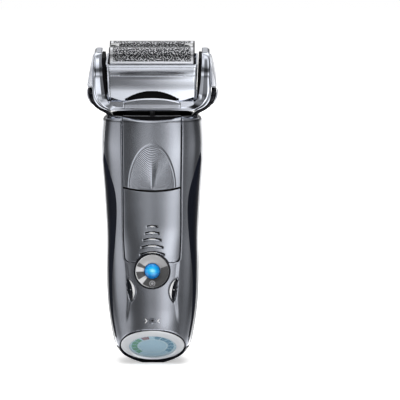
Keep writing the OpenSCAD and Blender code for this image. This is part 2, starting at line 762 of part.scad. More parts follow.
// ---- Neck ----
yoke_x = frame_half_w + 0.3;
yoke_disc_r = release_r + 1.2;
recess_x = yoke_x + 1;
release_x = recess_x + release_travel + turn_gap;
seal_half_w = 7;
seal_half_d = 5.6;
module neck_yoke() {
    color(black) difference() {
        union() {
            translate([0, 0, deck_bottom]) linear_extrude(deck_t) intersection() {
                skin_section(body_h, wall + part_gap);
                polygon(concat(
                    [for (a = steps(-edge_angle, edge_angle, 30)) let (p = skin(body_h, a, wall + part_gap))
                        [p[0], max(inner_front + 0.4, p[1] + behind(p[0], body_h))]],
                    [[neck_half_w, 0], [neck_half_w, bed_y - bed_t - 0.2],
                        [-neck_half_w, bed_y - bed_t - 0.2], [-neck_half_w, 0]]));
            }
            both_sides() intersection() {
                face_on(-yoke_half_d - 2, yoke_half_d + 2) polygon([
                    [18, deck_bottom], [neck_half_w - wall - 0.5, deck_bottom],
                    [neck_half_w - wall - 0.5, body_h + 0.4], [frame_half_w - 5.5, pivot_z - 7.8],
                    [frame_half_w - 2.5, pivot_z - 6.7], [frame_half_w + 1.2, pivot_z - 4.7],
                    [yoke_x + yoke_t - 0.2, pivot_z - 1.8], [yoke_x + yoke_t, pivot_z + 0.5],
                    [yoke_x + yoke_t, pivot_z + 8], [yoke_x, pivot_z + 8],
                    [yoke_x, pivot_z - 4.1], [frame_half_w - 2.5, pivot_z - 4.7],
                    [frame_half_w - 5.5, pivot_z - 6.4], [19, pivot_z - 7.6], [18, deck_top]]);
                side_on(0, far) union() {
                    translate([-yoke_half_d, 0]) square([2 * yoke_half_d, pivot_z]);
                    translate([0, pivot_z]) circle(r = yoke_disc_r);
                }
            }
        }
        bar(pin_r + stroke + 1.4, -seal_half_d + 0.8, seal_half_d - 0.8, -far, 2 * body_h);
        both_sides() {
            along_x(0, pivot_z, pivot_r, yoke_x - 1, far);
            along_x(0, pivot_z, release_r + turn_gap, recess_x, far);
        }
    }
}
module pin_seal() {
    color("#2b2c33") difference() {
        bar(seal_half_w, -seal_half_d, seal_half_d, deck_top, deck_top + 0.8);
        for (side = [-1, 1]) translate([0, side * pin_y, 0])
            bar(pin_r + stroke + slide_gap, -pin_r - slide_gap, pin_r + slide_gap, 0, 2 * body_h);
    }
}
pin_inner_x = frame_inner_w + 3.4;
module pivot_pin_right() {
    color(steel) along_x(0, pivot_z, pivot_r, pin_inner_x, recess_x);
}
module pivot_pin_left() {
    mirror([1, 0, 0]) pivot_pin_right();
}
module release_button_right() {
    color(silver) translate([release_x, 0, pivot_z]) rotate([0, 90, 0])
        domed(release_r, yoke_t - 1.2, button_dome);
}
module release_button_left() {
    mirror([1, 0, 0]) release_button_right();
}

// ---- Head frame, in the head's own upright frame round the tilt axis ----
module on_head() {
    translate([0, 0, pivot_z]) rotate([lean, 0, 0]) children();
}
corner_r = 8;
rim_r = 1.4;
cover_z = yoke_disc_r + 0.8;
cover_top = frame_top - 3.1;
arm_x = frame_half_w - 0.7;
frame_outline = concat(
    [for (t = steps(-90, 0, 8))
        [frame_half_w - corner_r + corner_r * cos(t), corner_r - frame_drop + corner_r * sin(t)]],
    [[frame_half_w, cover_z], [arm_x, cover_top], [arm_x - 0.6, frame_top - 0.9],
    [arm_x - 2, frame_top], [arm_x - 3.6, frame_top - 0.4], [frame_inner_w + 2.2, frame_top - 2],
    [frame_inner_w + 1, 12], [frame_inner_w + 0.2, floor_z + 3], [frame_inner_w, floor_z]]);
// The arms' upper ends are domed, seen from the side, and so are their covers
dome_z = 12;
frame_dome_rise = frame_top + 0.3 - dome_z;
cover_dome_rise = cover_top + 0.6 - dome_z;
module frame_side() {
    polygon(concat(
        [for (side = [-1, 1], t = steps(90, 0, 5)) let (u = side < 0 ? 90 - t : t)
            [side * (frame_half_d - rim_r + rim_r * cos(u)), rim_r - frame_drop - rim_r * sin(u)]],
        [for (t = steps(0, 180, 16)) [frame_half_d * cos(t), dome_z + frame_dome_rise * sin(t)]]));
}
module head_frame() {
    color(silver) on_head() difference() {
        union() {
            intersection() {
                face_on(-far, far) polygon(concat(frame_outline,
                    [for (i = [len(frame_outline) - 1:-1:0]) [-frame_outline[i][0], frame_outline[i][1]]]));
                side_on(-far, far) frame_side();
            }
            both_sides() along_x(0, 0, pivot_r + 1.6, frame_half_w - 5, frame_half_w);
        }
        both_sides() along_x(0, 0, pivot_r + turn_gap, pin_inner_x - part_gap, far);
        bar(6, -9, 9, -far, far);
    }
}
cover_half_d = 9;
module side_cover_right() {
    color(silver) on_head() intersection() {
        face_on(-far, far) polygon([
            [frame_half_w, cover_z], [frame_half_w + 2.9, cover_z], [frame_half_w + 2.6, cover_z + 3],
            [frame_half_w + 1.9, cover_z + 7], [frame_half_w + 1, cover_z + 11],
            [arm_x + 0.5, cover_top - 0.4], [arm_x, cover_top]]);
        side_on(0, far) polygon(concat([[-cover_half_d, 0], [cover_half_d, 0]],
            [for (t = steps(0, 180, 16))
                [cover_half_d * cos(t), dome_z + cover_dome_rise * sin(t)]]));
    }
}
module side_cover_left() {
    mirror([1, 0, 0]) side_cover_right();
}

// ---- Cassette ----
flare = 0.9;
cavity_half_d = foil_y + foil_r + part_gap;
module cassette_frame() {
    color("#b4b8c0") on_head() difference() {
        intersection() {
            face_on(-far, far) polygon([
                [-cassette_half_w, floor_z + turn_gap], [cassette_half_w, floor_z + turn_gap],
                [cassette_half_w + flare, cassette_top], [-cassette_half_w - flare, cassette_top]]);
            side_on(-far, far) polygon([
                [-cassette_half_d, 0], [cassette_half_d, 0], [cassette_half_d, 15.3],
                [cassette_half_d - 0.3, 17.8], [cassette_half_d - 0.8, cassette_top],
                [0.8 - cassette_half_d, cassette_top], [0.3 - cassette_half_d, 17.8],
                [-cassette_half_d, 15.3]]);
        }
        face_on(-cavity_half_d, cavity_half_d) polygon([
            [cassette_wall - cassette_half_w, 2.4], [cassette_half_w - cassette_wall, 2.4],
            [cassette_half_w - cassette_wall + flare, cassette_top + slack],
            [cassette_wall - cassette_half_w - flare, cassette_top + slack]]);
        bar(15, -9, 9, -far, 3);
        face_on(-far, -cavity_half_d + 1) rinse_window();
    }
}
window_w = 13;
// Lens between two arcs that both bulge upwards
module rinse_window() {
    polygon(concat(
        [for (x = steps(-window_w, window_w, 16)) [x, 2.7 + 4.4 * (1 - (x / window_w) ^ 2)]],
        [for (x = steps(window_w - 0.6, 0.6 - window_w, 14)) [x, 2.7 + 0.5 * (1 - (x / window_w) ^ 2)]]));
}

// ---- Foils ----
holder_end = 0.5;
holder_z = cassette_top + 0.2;
module foil(side) {
    color("#c4c7cb") on_head() difference() {
        along_x(side * foil_y, foil_z, foil_r, -foil_half_l, foil_half_l);
        along_x(side * foil_y, foil_z, foil_r - foil_t, -far, far);
        bar(far, -far, far, -far, foil_z);
    }
}
module foil_front() {
    foil(-1);
}
module foil_rear() {
    foil(1);
}
module foil_holder(side) {
    color(black) on_head() translate([0, side * foil_y, 0]) difference() {
        union() {
            bar(foil_half_l + holder_end, -foil_r, foil_r, holder_z, foil_z);
            both_sides() along_x(0, foil_z, foil_r, foil_half_l, foil_half_l + holder_end);
        }
        bar(foil_half_l, 1 - foil_r, foil_r - 1, -far, far);
    }
}
module foil_holder_front() {
    foil_holder(-1);
}
module foil_holder_rear() {
    foil_holder(1);
}

// ---- Cutters, carried on the drive pins by forks ----
cutter_z = 19.4;
cutter_r = foil_r - foil_t - 0.1;
blade_t = 0.6;
fork_inner = pin_r + turn_gap;
fork_outer = fork_inner + 1.5;
fork_top = 5.6;
function centred(half_l, pitch) = let (n = floor(half_l / pitch)) [for (i = [-n:n]) i * pitch];
module cutter(side) {
    color(steel) on_head() translate([0, side * foil_y, 0]) {
        bar(cutter_half_l, -2.8, 2.8, cutter_z, foil_z + 0.6);
        intersection() {
            for (x = centred(cutter_half_l - blade_t / 2, blade_pitch))
                along_x(0, foil_z, cutter_r, x - blade_t / 2, x + blade_t / 2);
            bar(far, -far, far, foil_z, far);
        }
    }
}
module cutter_front() {
    cutter(-1);
}
module cutter_rear() {
    cutter(1);
}
module carrier(side) {
    color("#e4e5e8") on_head() mirror([0, side > 0 ? 1 : 0, 0]) difference() {
        union() {
            translate([0, -foil_y, 0]) bar(13, -2.6, 2.6, 15, cutter_z);
            bar(fork_outer, -6.8, -3.8, fork_top, 15.5);
            bar(fork_outer, -5.5, -1.2, -1.2, fork_top + 2.4);
        }
        bar(fork_inner, -far, 0, -far, fork_top);
    }
}
module carrier_front() {
    carrier(-1);
    color("#e4e5e8") on_head() both_sides()
        translate([tab_half_w + turn_gap + 0.8, 0, 0]) bar(0.8, -4.5, 0.8, 15, 17);
}
module carrier_rear() {
    carrier(1);
}

// ---- Middle trimmer ----
comb_t = 0.4;
comb_top = foil_z + foil_r + 0.4;
comb_bottom = cutter_z - 0.4;
tab_half_w = 2;
tooth_slot = 0.8;
tooth_span = 16;
module middle_comb() {
    color(silver) on_head() difference() {
        bar(foil_half_l, -comb_half_d, comb_half_d, comb_bottom, comb_top);
        bar(foil_half_l - comb_t, comb_t - comb_half_d, comb_half_d - comb_t, 0, comb_top - comb_t);
        for (x = centred(tooth_span, tooth_pitch)) translate([x, 0, 0])
            bar(tooth_slot / 2, -far, far, comb_top - 2.2, far);
    }
}
module middle_blade() {
    half_d = comb_half_d - comb_t - slide_gap;
    color(steel) on_head() difference() {
        union() {
            bar(foil_half_l - comb_t - stroke - 0.5, -half_d, half_d, comb_bottom, comb_top - comb_t - 0.1);
            bar(tab_half_w, -half_d, half_d, 13, comb_bottom + 1);
        }
        for (x = centred(tooth_span, tooth_pitch)) translate([x, 0, 0])
            bar(tooth_slot / 2, -far, far, comb_top - 2.2, far);
    }
}

// ---- Long-hair trimmer on the back ----
trimmer_in = bed_y + slide_gap;
pocket_y = bed_y + 1.3;
pocket_half_w = trimmer_half_w - 0.8;
pocket_z = body_h - 7;
function carriage_ring(z) = concat(
    [[-trimmer_half_w, trimmer_in, z], [trimmer_half_w, trimmer_in, z]],
    [for (x = steps(trimmer_half_w, -trimmer_half_w, 12)) [x, skin_y(back_line, z, x), z]]);
switch_pad_y = body_back - 0.6;
pad_half_w = 6;
pad_z = body_h - 20;
module trimmer_carriage() {
    color(black) {
        difference() {
            loft([for (z = steps(trimmer_bottom, body_h, 8)) carriage_ring(z)]);
            bar(pocket_half_w, 0, pocket_y, pocket_z, body_h + 1);
            bar(pad_half_w, switch_pad_y, far, pad_z, pad_z + 11);
        }
        bar(tongue_half_w, bed_y - bed_t - 0.8, trimmer_in + 0.5, tongue_z, tongue_z + tongue_l);
    }
}
module trimmer_switch() {
    color("#3b3d44") {
        bar(pad_half_w, switch_pad_y, body_back + 1, pad_z, pad_z + 11);
        for (i = [0:3]) translate([0, 0, pad_z + 2.4 * i])
            bar(pad_half_w - 1, body_back, body_back + 1.5, 1.2, 2.4);
    }
}
module teeth(half_w, y0, y1, z0, z1) {
    difference() {
        bar(half_w, y0, y1, z0, z1);
        for (x = centred(half_w - 1, 1.4)) translate([x, 0, 0]) bar(0.35, -far, far, z1 - 2, z1 + 1);
    }
}
module trimmer_comb() {
    color(steel) teeth(pocket_half_w, pocket_y - 0.5, pocket_y, pocket_z, body_h + 0.8);
}
module trimmer_blade() {
    color(silver) teeth(pocket_half_w - trimmer_stroke - 0.2, trimmer_in + 0.1, pocket_y - 0.52,
        pocket_z + 0.6, body_h + 0.3);
}

front_shell();
back_shell();
grip_left();
grip_right();
side_rail_left();
side_rail_right();
base_cap();
base_seal();
thumb_slide();
lower_panel();
dial_ring();
dial_disc();
power_button();
minus_button();
plus_button();
reset_button();
display_bezel();
display_window();
display_panel();
chassis();
battery();
circuit_board();
tact_switches();
housing_screws();
power_socket();
socket_pins();
charging_contacts();
motor_core();
motor_coil();
leaf_springs();
mover_front();
mover_rear();
neck_yoke();
pin_seal();
pivot_pin_left();
pivot_pin_right();
release_button_left();
release_button_right();
head_frame();
side_cover_left();
side_cover_right();
cassette_frame();
foil_front();
foil_rear();
foil_holder_front();
foil_holder_rear();
middle_comb();
middle_blade();
cutter_front();
cutter_rear();
carrier_front();
carrier_rear();
trimmer_carriage();
trimmer_switch();
trimmer_comb();
trimmer_blade();
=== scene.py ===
import math
import bpy
import bmesh
import numpy as np
from mathutils import Matrix, Vector


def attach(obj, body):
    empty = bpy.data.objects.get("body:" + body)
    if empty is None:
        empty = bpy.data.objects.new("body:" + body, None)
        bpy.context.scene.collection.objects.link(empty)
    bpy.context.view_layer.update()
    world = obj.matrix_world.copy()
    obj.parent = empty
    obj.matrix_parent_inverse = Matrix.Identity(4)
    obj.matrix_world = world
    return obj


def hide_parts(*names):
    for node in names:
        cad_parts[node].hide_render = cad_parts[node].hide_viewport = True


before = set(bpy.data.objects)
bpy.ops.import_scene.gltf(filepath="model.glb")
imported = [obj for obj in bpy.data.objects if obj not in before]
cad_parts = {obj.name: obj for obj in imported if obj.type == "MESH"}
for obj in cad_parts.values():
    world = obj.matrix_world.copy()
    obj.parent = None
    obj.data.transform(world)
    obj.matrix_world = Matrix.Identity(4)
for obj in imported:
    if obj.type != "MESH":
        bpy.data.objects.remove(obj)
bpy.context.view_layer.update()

# the shaver's main sizes in millimetres, as the solids have them; stations are [height, value]
body = dict(
    top=126.6, shellBottom=9.6, wall=2.0, backWall=1.9, sectionPower=2.7, edgeAngle=96.0, rimRoll=2.4,
    rimMost=1.3,
    halfWidth=[[0, 7.0], [1, 9.3], [2.2, 11.9], [4.7, 15.6], [9.0, 18.7], [17.5, 20.8], [32, 22.7],
               [50, 23.3], [68, 23.2], [89, 24.35], [110.8, 25.9], [123.6, 25.0], [126.6, 24.1]],
    front=[[0, 5], [2.2, 9.5], [6, 15.4], [12, 17.3], [20, 17.5], [45, 16.9], [68, 16.6], [105, 17.3],
           [123.6, 16.7], [126.6, 16.2]],
    back=[[0, 12.6], [2.2, 14], [6, 15.6], [20, 16.6], [68, 17.3], [105, 17.9], [126.6, 17.6]],
)
grip = dict(
    bottom=14.0, top=111.5, thick=1.2, split=0.8, bulge=0.45, roll=0.5, railBulge=0.12, railRoll=0.3,
    edge=[[9.6, 18.1], [14.0, 18.0], [26, 19.7], [45, 20.1], [64.6, 18.5], [78, 17.7], [88, 18.3],
          [98.8, 21.2], [111.5, 24.7], [126.6, 24.1]],
    rail=[[9.6, 1.5], [26, 1.0], [103.5, 1.0], [113.5, 1.8], [126.6, 1.6]],
)
panel = dict(
    halfWidth=14.9, bottom=53.4, joint=89.4, sag=2.0, gap=0.7, thick=1.6, trough=0.9, corner=2.6,
    inset=0.27, bed=-0.15, edgeRoll=0.32, topFall=0.1, scoop=1.2, upperMore=0.3, lowerMore=0.2, dialPlay=0.12,
    dialFloor=-14.2,
    line=[[51.4, 13.4], [57.4, 14.0], [68, 14.45], [89.4, 14.5], [126.6, 14.9]],
)
dial = dict(z=49.2, r=9.1, face=-16.98, ringWidth=0.7, buttonR=3.9, iconZ=42.9, buttonGap=0.18)
slant = dict(top=19.4, front=-17.5, angle=35.0, halfW=16.1, halfH=10.5, rim=0.4, windowW=11.8, windowH=7.6,
             drop=1.6, hiddenW=13.4, hiddenH=9.1, sink=2.6)
head = dict(pivot=135.3, lean=10.0, halfD=12.6, top=24.9, squareTo=13)


def smoothLine(stations, z):
    # a smooth curve through stations of [height, value], with the slope at each taken from its two neighbours
    t = np.array(stations, float)
    z = np.asarray(z, float)
    i = np.clip(np.searchsorted(t[:, 0], z, side="right") - 1, 0, len(t) - 2)
    slope = np.empty(len(t))
    slope[1:-1] = (t[2:, 1] - t[:-2, 1]) / (t[2:, 0] - t[:-2, 0])
    slope[0] = (t[1, 1] - t[0, 1]) / (t[1, 0] - t[0, 0])
    slope[-1] = (t[-1, 1] - t[-2, 1]) / (t[-1, 0] - t[-2, 0])
    h = t[i + 1, 0] - t[i, 0]
    u = (z - t[i, 0]) / h
    return ((2 * u**3 - 3 * u**2 + 1) * t[i, 1] + (u**3 - 2 * u**2 + u) * slope[i] * h
            + (3 * u**2 - 2 * u**3) * t[i + 1, 1] + (u**3 - u**2) * slope[i + 1] * h)


def straightLine(stations, z):
    # straight from station to station
    t = np.array(stations, float)
    return np.interp(z, t[:, 0], t[:, 1])


def ramp(x, lo, hi):
    # 0 below lo, 1 above hi, an S between
    u = np.clip((np.asarray(x, float) - lo) / (hi - lo), 0, 1)
    return u * u * (3 - 2 * u)


def roll(e, r):
    # how far an edge rounded with radius r has dropped at distance e inside it
    u = np.clip(r - np.asarray(e, float), 0, r)
    return r - np.sqrt(np.maximum(r * r - u * u, 0))


def spread(stops, steps):
    # values through stops, with the given number of steps in each span
    parts = [np.linspace(a, b, n, endpoint=False) for a, b, n in zip(stops[:-1], stops[1:], steps)]
    return np.concatenate(parts + [[stops[-1]]])


def roundTrip(n, start=0.0):
    # n equal angles in degrees, once round from the start
    return np.linspace(start, start + 360, n + 1)[:-1]


def halfW(z):
    return smoothLine(body["halfWidth"], z)


def skinPoint(z, a, d=0.0):
    # point of the skin at height z, a degrees from the front and d inside it: a super-ellipse section
    s, c = np.sin(np.radians(a)), np.cos(np.radians(a))
    depth = np.where(c > 0, smoothLine(body["front"], z), smoothLine(body["back"], z))
    f = 2 / body["sectionPower"]
    x = (halfW(z) - d) * np.sign(s) * np.abs(s) ** f
    y = -(depth - d) * np.sign(c) * np.abs(c) ** f
    return np.stack([x, y, z + 0 * x], -1)


def skinRing(z, a, d, rise=0.0):
    # one level ring of the skin, d inside it, lifted by rise
    return skinPoint(np.full(len(a), z), a, d) + [0, 0, rise]


def angleOf(z, x):
    # the skin's angle at which its half-width is x
    return np.degrees(np.arcsin(np.clip(np.abs(x) / halfW(z), 0, 1) ** (body["sectionPower"] / 2)))


def skinDepth(line, z, x):
    # distance of the skin from the centre plane at x
    u = np.clip(np.abs(x) / halfW(z), 0, 0.9999)
    return smoothLine(line, z) * (1 - u ** body["sectionPower"]) ** (1 / body["sectionPower"])


def railAngle(z):
    return angleOf(z, halfW(z) - smoothLine(grip["rail"], z))


def gripAngle(z):
    return np.minimum(angleOf(z, smoothLine(grip["edge"], z)), railAngle(z) - grip["split"])


def edgeAngle(z):
    return 0 * z + body["edgeAngle"]


def rimInset(z):
    # the shells' upper edge rolls inwards over its last two millimetres
    return np.minimum(roll(body["top"] - z, body["rimRoll"]), body["rimMost"])


def onHead(points):
    # the head's own upright frame, turned forward about the tilt axis
    p = np.asarray(points, float).reshape(-1, 3)
    c, s = math.cos(math.radians(head["lean"])), math.sin(math.radians(head["lean"]))
    return np.stack([p[:, 0], p[:, 1] * c - p[:, 2] * s, head["pivot"] + p[:, 1] * s + p[:, 2] * c], -1)


def onSlant(points):
    # the display's frame: x across, y up the slant, z out of its face
    p = np.asarray(points, float).reshape(-1, 3)
    t = math.radians(90 + slant["angle"])
    c, s = math.cos(t), math.sin(t)
    up = slant["halfH"] + slant["rim"]
    midZ = slant["top"] - up * math.cos(math.radians(slant["angle"]))
    midY = slant["front"] + up * math.sin(math.radians(slant["angle"]))
    return np.stack([p[:, 0], midY + p[:, 1] * c - p[:, 2] * s, midZ + p[:, 1] * s + p[:, 2] * c], -1)


def gridFaces(rows, cols, closeRows=False, closeCols=False, start=0):
    # the four-cornered faces of a grid of points, closed on itself where asked
    r = np.arange(rows if closeRows else rows - 1)
    c = np.arange(cols if closeCols else cols - 1)
    i, j = np.meshgrid(r, c, indexing="ij")
    i2, j2 = (i + 1) % rows, (j + 1) % cols
    f = np.stack([i * cols + j, i * cols + j2, i2 * cols + j2, i2 * cols + j], -1)
    return f.reshape(-1, 4) + start


def skin(rings, closed=False):
    # points and faces through rings of points; closed joins the last ring to the first
    rings = np.asarray(rings, float)
    return rings.reshape(-1, 3), gridFaces(len(rings), rings.shape[1], closeRows=closed, closeCols=True)


def tube(rings):
    # closed solid through closed rings of points; the end rings are drawn together to their centres
    rings = np.asarray(rings, float)
    first = rings[:1].mean(axis=1, keepdims=True) + 0 * rings[:1]
    last = rings[-1:].mean(axis=1, keepdims=True) + 0 * rings[:1]
    return skin(np.concatenate([first, rings, last]))


def between(outer, inner):
    # closed solid between two grids of the same size: both faces and the strip round their edges
    rows, cols = outer.shape[:2]
    pts = np.concatenate([outer.reshape(-1, 3), inner.reshape(-1, 3)])
    n = rows * cols
    a = gridFaces(rows, cols)
    b = gridFaces(rows, cols, start=n)[:, ::-1]
    idx = np.arange(n).reshape(rows, cols)
    loop = np.concatenate([idx[0, :-1], idx[:-1, -1], idx[-1, :0:-1], idx[:0:-1, 0]])
    nxt = np.roll(loop, -1)
    side = np.stack([loop, loop + n, nxt + n, nxt], -1)
    return pts, np.concatenate([a, b, side])


def sheet(x, y, z, depth):
    # closed solid from a face given by its three coordinate grids, depth deep behind it
    face = np.stack(np.broadcast_arrays(x, y, z), -1).astype(float)
    behind = face.copy()
    behind[..., 1] += depth
    return between(face, behind)


def turned(profile, at=(0, 0, 0), segments=96):
    # rings of a profile of [radius, height] carried round an axis through a point; the height runs along -Y
    p = np.asarray(profile, float)
    t = np.radians(roundTrip(segments))
    ring = np.stack([p[:, None, 0] * np.cos(t), -p[:, None, 1] + 0 * t, p[:, None, 0] * np.sin(t)], -1)
    return ring + np.array(at)


def boxPart(lo, hi):
    p = np.array([[x, y, z] for x in (lo[0], hi[0]) for y in (lo[1], hi[1]) for z in (lo[2], hi[2])], float)
    return p, np.array([[0, 1, 3, 2], [4, 6, 7, 5], [0, 4, 5, 1], [2, 3, 7, 6], [0, 2, 6, 4], [1, 5, 7, 3]])


def joined(parts):
    # several point and face sets as one
    pts, faces, base = [], [], 0
    for p, f in parts:
        pts.append(np.asarray(p, float).reshape(-1, 3))
        faces.append(np.asarray(f) + base)
        base += len(pts[-1])
    return np.concatenate(pts), np.concatenate(faces)


def roundedLoop(halfA, halfB, r, n=6):
    # a rectangle with rounded corners, as a closed loop
    th = np.radians(np.linspace(0, 90, n))
    pts = []
    for k, (sa, sb) in enumerate(((1, 1), (-1, 1), (-1, -1), (1, -1))):
        t = th + k * np.pi / 2
        pts.append(np.stack([sa * (halfA - r) + r * np.cos(t), sb * (halfB - r) + r * np.sin(t)], -1))
    return np.concatenate(pts)


def level(loop, z, x=0.0, y=0.0):
    # a flat loop laid at height z
    return np.stack([x + loop[:, 0], y + loop[:, 1], np.full(len(loop), z)], -1)


def curveThrough(points, n):
    # a smooth curve through control points, n points in all
    p = np.asarray(points, float)
    u = np.linspace(0, len(p) - 1, n)
    columns = range(p.shape[1])
    return np.stack([smoothLine(np.stack([np.arange(len(p)), p[:, k]], -1), u) for k in columns], -1)


weld = 1e-6  # metres within which points are one


def cleaned(mesh):
    # doubles merged, normals turned outwards
    bm = bmesh.new()
    bm.from_mesh(mesh)
    bmesh.ops.remove_doubles(bm, verts=bm.verts, dist=weld)
    bmesh.ops.dissolve_degenerate(bm, edges=bm.edges, dist=weld)
    bmesh.ops.recalc_face_normals(bm, faces=bm.faces)
    if bm.calc_volume(signed=True) < 0:
        bmesh.ops.reverse_faces(bm, faces=bm.faces)
    bm.to_mesh(mesh)
    bm.free()


def inMetres(points):
    return np.asarray(points, float).reshape(-1, 3) * 0.001


def piece(name, form, ride, stands=(), material=None, sharp=38, uv=None, into=None):
    # one closed piece from points and faces: cleaned, smooth, with edges past the sharp angle kept
    points, faces = form
    mesh = bpy.data.meshes.new(name)
    v = inMetres(into(points) if into else points)
    f = np.asarray(faces, np.int64)
    n, k = f.shape
    mesh.vertices.add(len(v))
    mesh.vertices.foreach_set("co", v.ravel())
    mesh.loops.add(n * k)
    mesh.loops.foreach_set("vertex_index", f.ravel())
    mesh.polygons.add(n)
    mesh.polygons.foreach_set("loop_start", np.arange(0, n * k, k))
    mesh.update(calc_edges=True)
    if uv is not None:
        layer = mesh.uv_layers.new(name="UVMap")
        layer.data.foreach_set("uv", np.asarray(uv, float)[f.ravel()].ravel())
    cleaned(mesh)
    mesh.polygons.foreach_set("use_smooth", np.ones(len(mesh.polygons), bool))
    mesh.set_sharp_from_angle(angle=math.radians(sharp))
    obj = bpy.data.objects.new(name, mesh)
    bpy.context.scene.collection.objects.link(obj)
    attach(obj, ride)
    if stands:
        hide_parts(*stands)
    if material is not None:
        mesh.materials.append(material)
    return obj


def cutWith(obj, form):
    # takes a solid away from a finished piece; the cutter is removed again
    points, faces = form
    mesh = bpy.data.meshes.new("cutter")
    mesh.from_pydata(inMetres(points).tolist(), [], faces.tolist())
    cleaned(mesh)
    cutter = bpy.data.objects.new("cutter", mesh)
    bpy.context.scene.collection.objects.link(cutter)
    cut = obj.modifiers.new("cut", "BOOLEAN")
    cut.operation, cut.object, cut.solver = "DIFFERENCE", cutter, "EXACT"
    bpy.context.view_layer.update()
    done = bpy.data.meshes.new_from_object(obj.evaluated_get(bpy.context.evaluated_depsgraph_get()))
    obj.modifiers.remove(cut)
    materials = list(obj.data.materials)
    obj.data = done
    if not done.materials:
        for m in materials:
            done.materials.append(m)
    bpy.data.objects.remove(cutter)


def wire(net, source, socket):
    # joins an output to an input; a node stands for its first output
    net.links.new(source.outputs[0] if hasattr(source, "outputs") else source, socket)


def node(net, kind, sources=None, values=None, **fields):
    # a new node with its own fields, fixed values and sources by input
    made = net.nodes.new("ShaderNode" + kind)
    for field, value in fields.items():
        setattr(made, field, value)
    for key, value in (values or {}).items():
        made.inputs[key].default_value = value
    for key, source in (sources or {}).items():
        wire(net, source, made.inputs[key])
    return made


def tree(name, **values):
    # a new material: its node tree, its shader with values by input name, and the Object coordinates
    mat = bpy.data.materials.new(name)
    mat.use_nodes = True
    net = mat.node_tree
    shader = next(n for n in net.nodes if n.type == "BSDF_PRINCIPLED")
    for key, value in values.items():
        shader.inputs[key.replace("_", " ")].default_value = value
    return mat, net, shader, node(net, "TexCoord").outputs["Object"]


def span(net, source, fromMin, fromMax, toMin=0.0, toMax=1.0):
    # maps one range of values on another
    values = {"From Min": fromMin, "From Max": fromMax, "To Min": toMin, "To Max": toMax}
    return node(net, "MapRange", {"Value": source}, values)


def combine(net, kind, operation, first, second):
    # one operation on a source and a second source or fixed value
    fixed = isinstance(second, (int, float, tuple))
    return node(net, kind, {0: first} if fixed else {0: first, 1: second}, {1: second} if fixed else {},
                operation=operation)


def colourRamp(net, source, stops):
    # colours through stops of (place, colour), the places from 0 to 1
    made = node(net, "ValToRGB", {"Fac": source})
    e = made.color_ramp.elements
    for k, (at, colour) in enumerate(stops):
        stop = e[k] if k < 2 else e.new(at)
        stop.position = at
        stop.color = (*colour, 1)
    return made


def toneRamp(net, source, stops, half, blue=1.0):
    # grey tones over an angle in radians, from -half to half; the stops are in degrees
    share = span(net, source, math.radians(-half), math.radians(half))
    return colourRamp(net, share, [((deg + half) / (2 * half), (v, v, v * blue)) for deg, v in stops])


def relief(net, source, shader, strength, distance):
    # a bump on the shader; the distance is in millimetres
    made = node(net, "Bump", {"Height": source}, {"Strength": strength, "Distance": distance * 0.001})
    wire(net, made, shader.inputs["Normal"])


def finish(name, colour, metallic=0.0, rough=0.4, coat=0.0, coatRough=0.1, grain=1500, grainBump=0.0,
           shade=0.06, roughShade=0.08, patches=60, ior=1.5, spec=0.5, alpha=1.0, stretch=(1, 1, 1)):
    # fine grain in the bump, slow patches in colour and roughness; stretch draws the grain out as brushing
    mat, net, shader, where = tree(name, Metallic=metallic, IOR=ior, Specular_IOR_Level=spec,
                                   Coat_Weight=coat, Coat_Roughness=coatRough, Alpha=alpha)
    drawn = node(net, "Mapping", {"Vector": where}, {"Scale": stretch})
    slow = node(net, "TexNoise", {"Vector": where}, {"Scale": patches, "Detail": 3})
    fine = node(net, "TexNoise", {"Vector": drawn}, {"Scale": grain, "Detail": 4})
    tone = span(net, combine(net, "Math", "ADD", slow, fine), 0.7, 1.3, 1 - shade, 1 + shade)
    shaded = node(net, "VectorMath", {"Scale": tone}, {0: colour}, operation="SCALE")
    wire(net, shaded, shader.inputs["Base Color"])
    wire(net, span(net, slow, 0.3, 0.7, rough * (1 - roughShade), rough * (1 + roughShade)),
         shader.inputs["Roughness"])
    if grainBump > 0:
        relief(net, fine, shader, grainBump, 0.05)
    return mat


shellPaint = finish("shellPaint", (0.455, 0.475, 0.53), metallic=1.0, rough=0.24, coat=0.1, grain=5200,
                    grainBump=0.12, shade=0.1, patches=40)
panelPaint = finish("panelPaint", (0.50, 0.525, 0.585), metallic=1.0, rough=0.22, coat=0.1, grain=5200,
                    grainBump=0.12, shade=0.09, patches=40)
gripRubber = finish("gripRubber", (0.005, 0.007, 0.015), rough=0.45, spec=0.16, grain=3800, grainBump=0.25,
                    shade=0.25)
blackPlastic = finish("blackPlastic", (0.012, 0.012, 0.016), rough=0.38, spec=0.35, grain=3000, grainBump=0.2,
                      shade=0.15)
blackGloss = finish("blackGloss", (0.004, 0.005, 0.009), rough=0.12, spec=0.35, grain=900, shade=0.2)
railChrome = finish("railChrome", (0.86, 0.87, 0.90), metallic=1.0, rough=0.12, grain=1200, shade=0.02)
chrome = finish("chrome", (0.73, 0.765, 0.85), metallic=1.0, rough=0.09, shade=0.02, roughShade=0.25)
satinChrome = finish("satinChrome", (0.79, 0.825, 0.91), metallic=1.0, rough=0.2, grain=900, shade=0.03,
                     stretch=(0.12, 1, 1))
silverPaint = finish("silverPaint", (0.94, 0.96, 1.0), metallic=0.3, rough=0.24, coat=0.3, grain=5200,
                     grainBump=0.1, shade=0.05)
coverSilver = finish("coverSilver", (0.88, 0.90, 0.96), metallic=0.5, rough=0.28, coat=0.2, grain=4000,
                     grainBump=0.08, shade=0.03)
holderSilver = finish("holderSilver", (0.88, 0.90, 0.96), metallic=0.35, rough=0.3, grain=2500,
                      grainBump=0.08, shade=0.03)
brightSteel = finish("brightSteel", (0.82, 0.83, 0.84), metallic=1.0, rough=0.2, grain=2600, grainBump=0.1,
                     shade=0.04, stretch=(0.1, 1, 1))
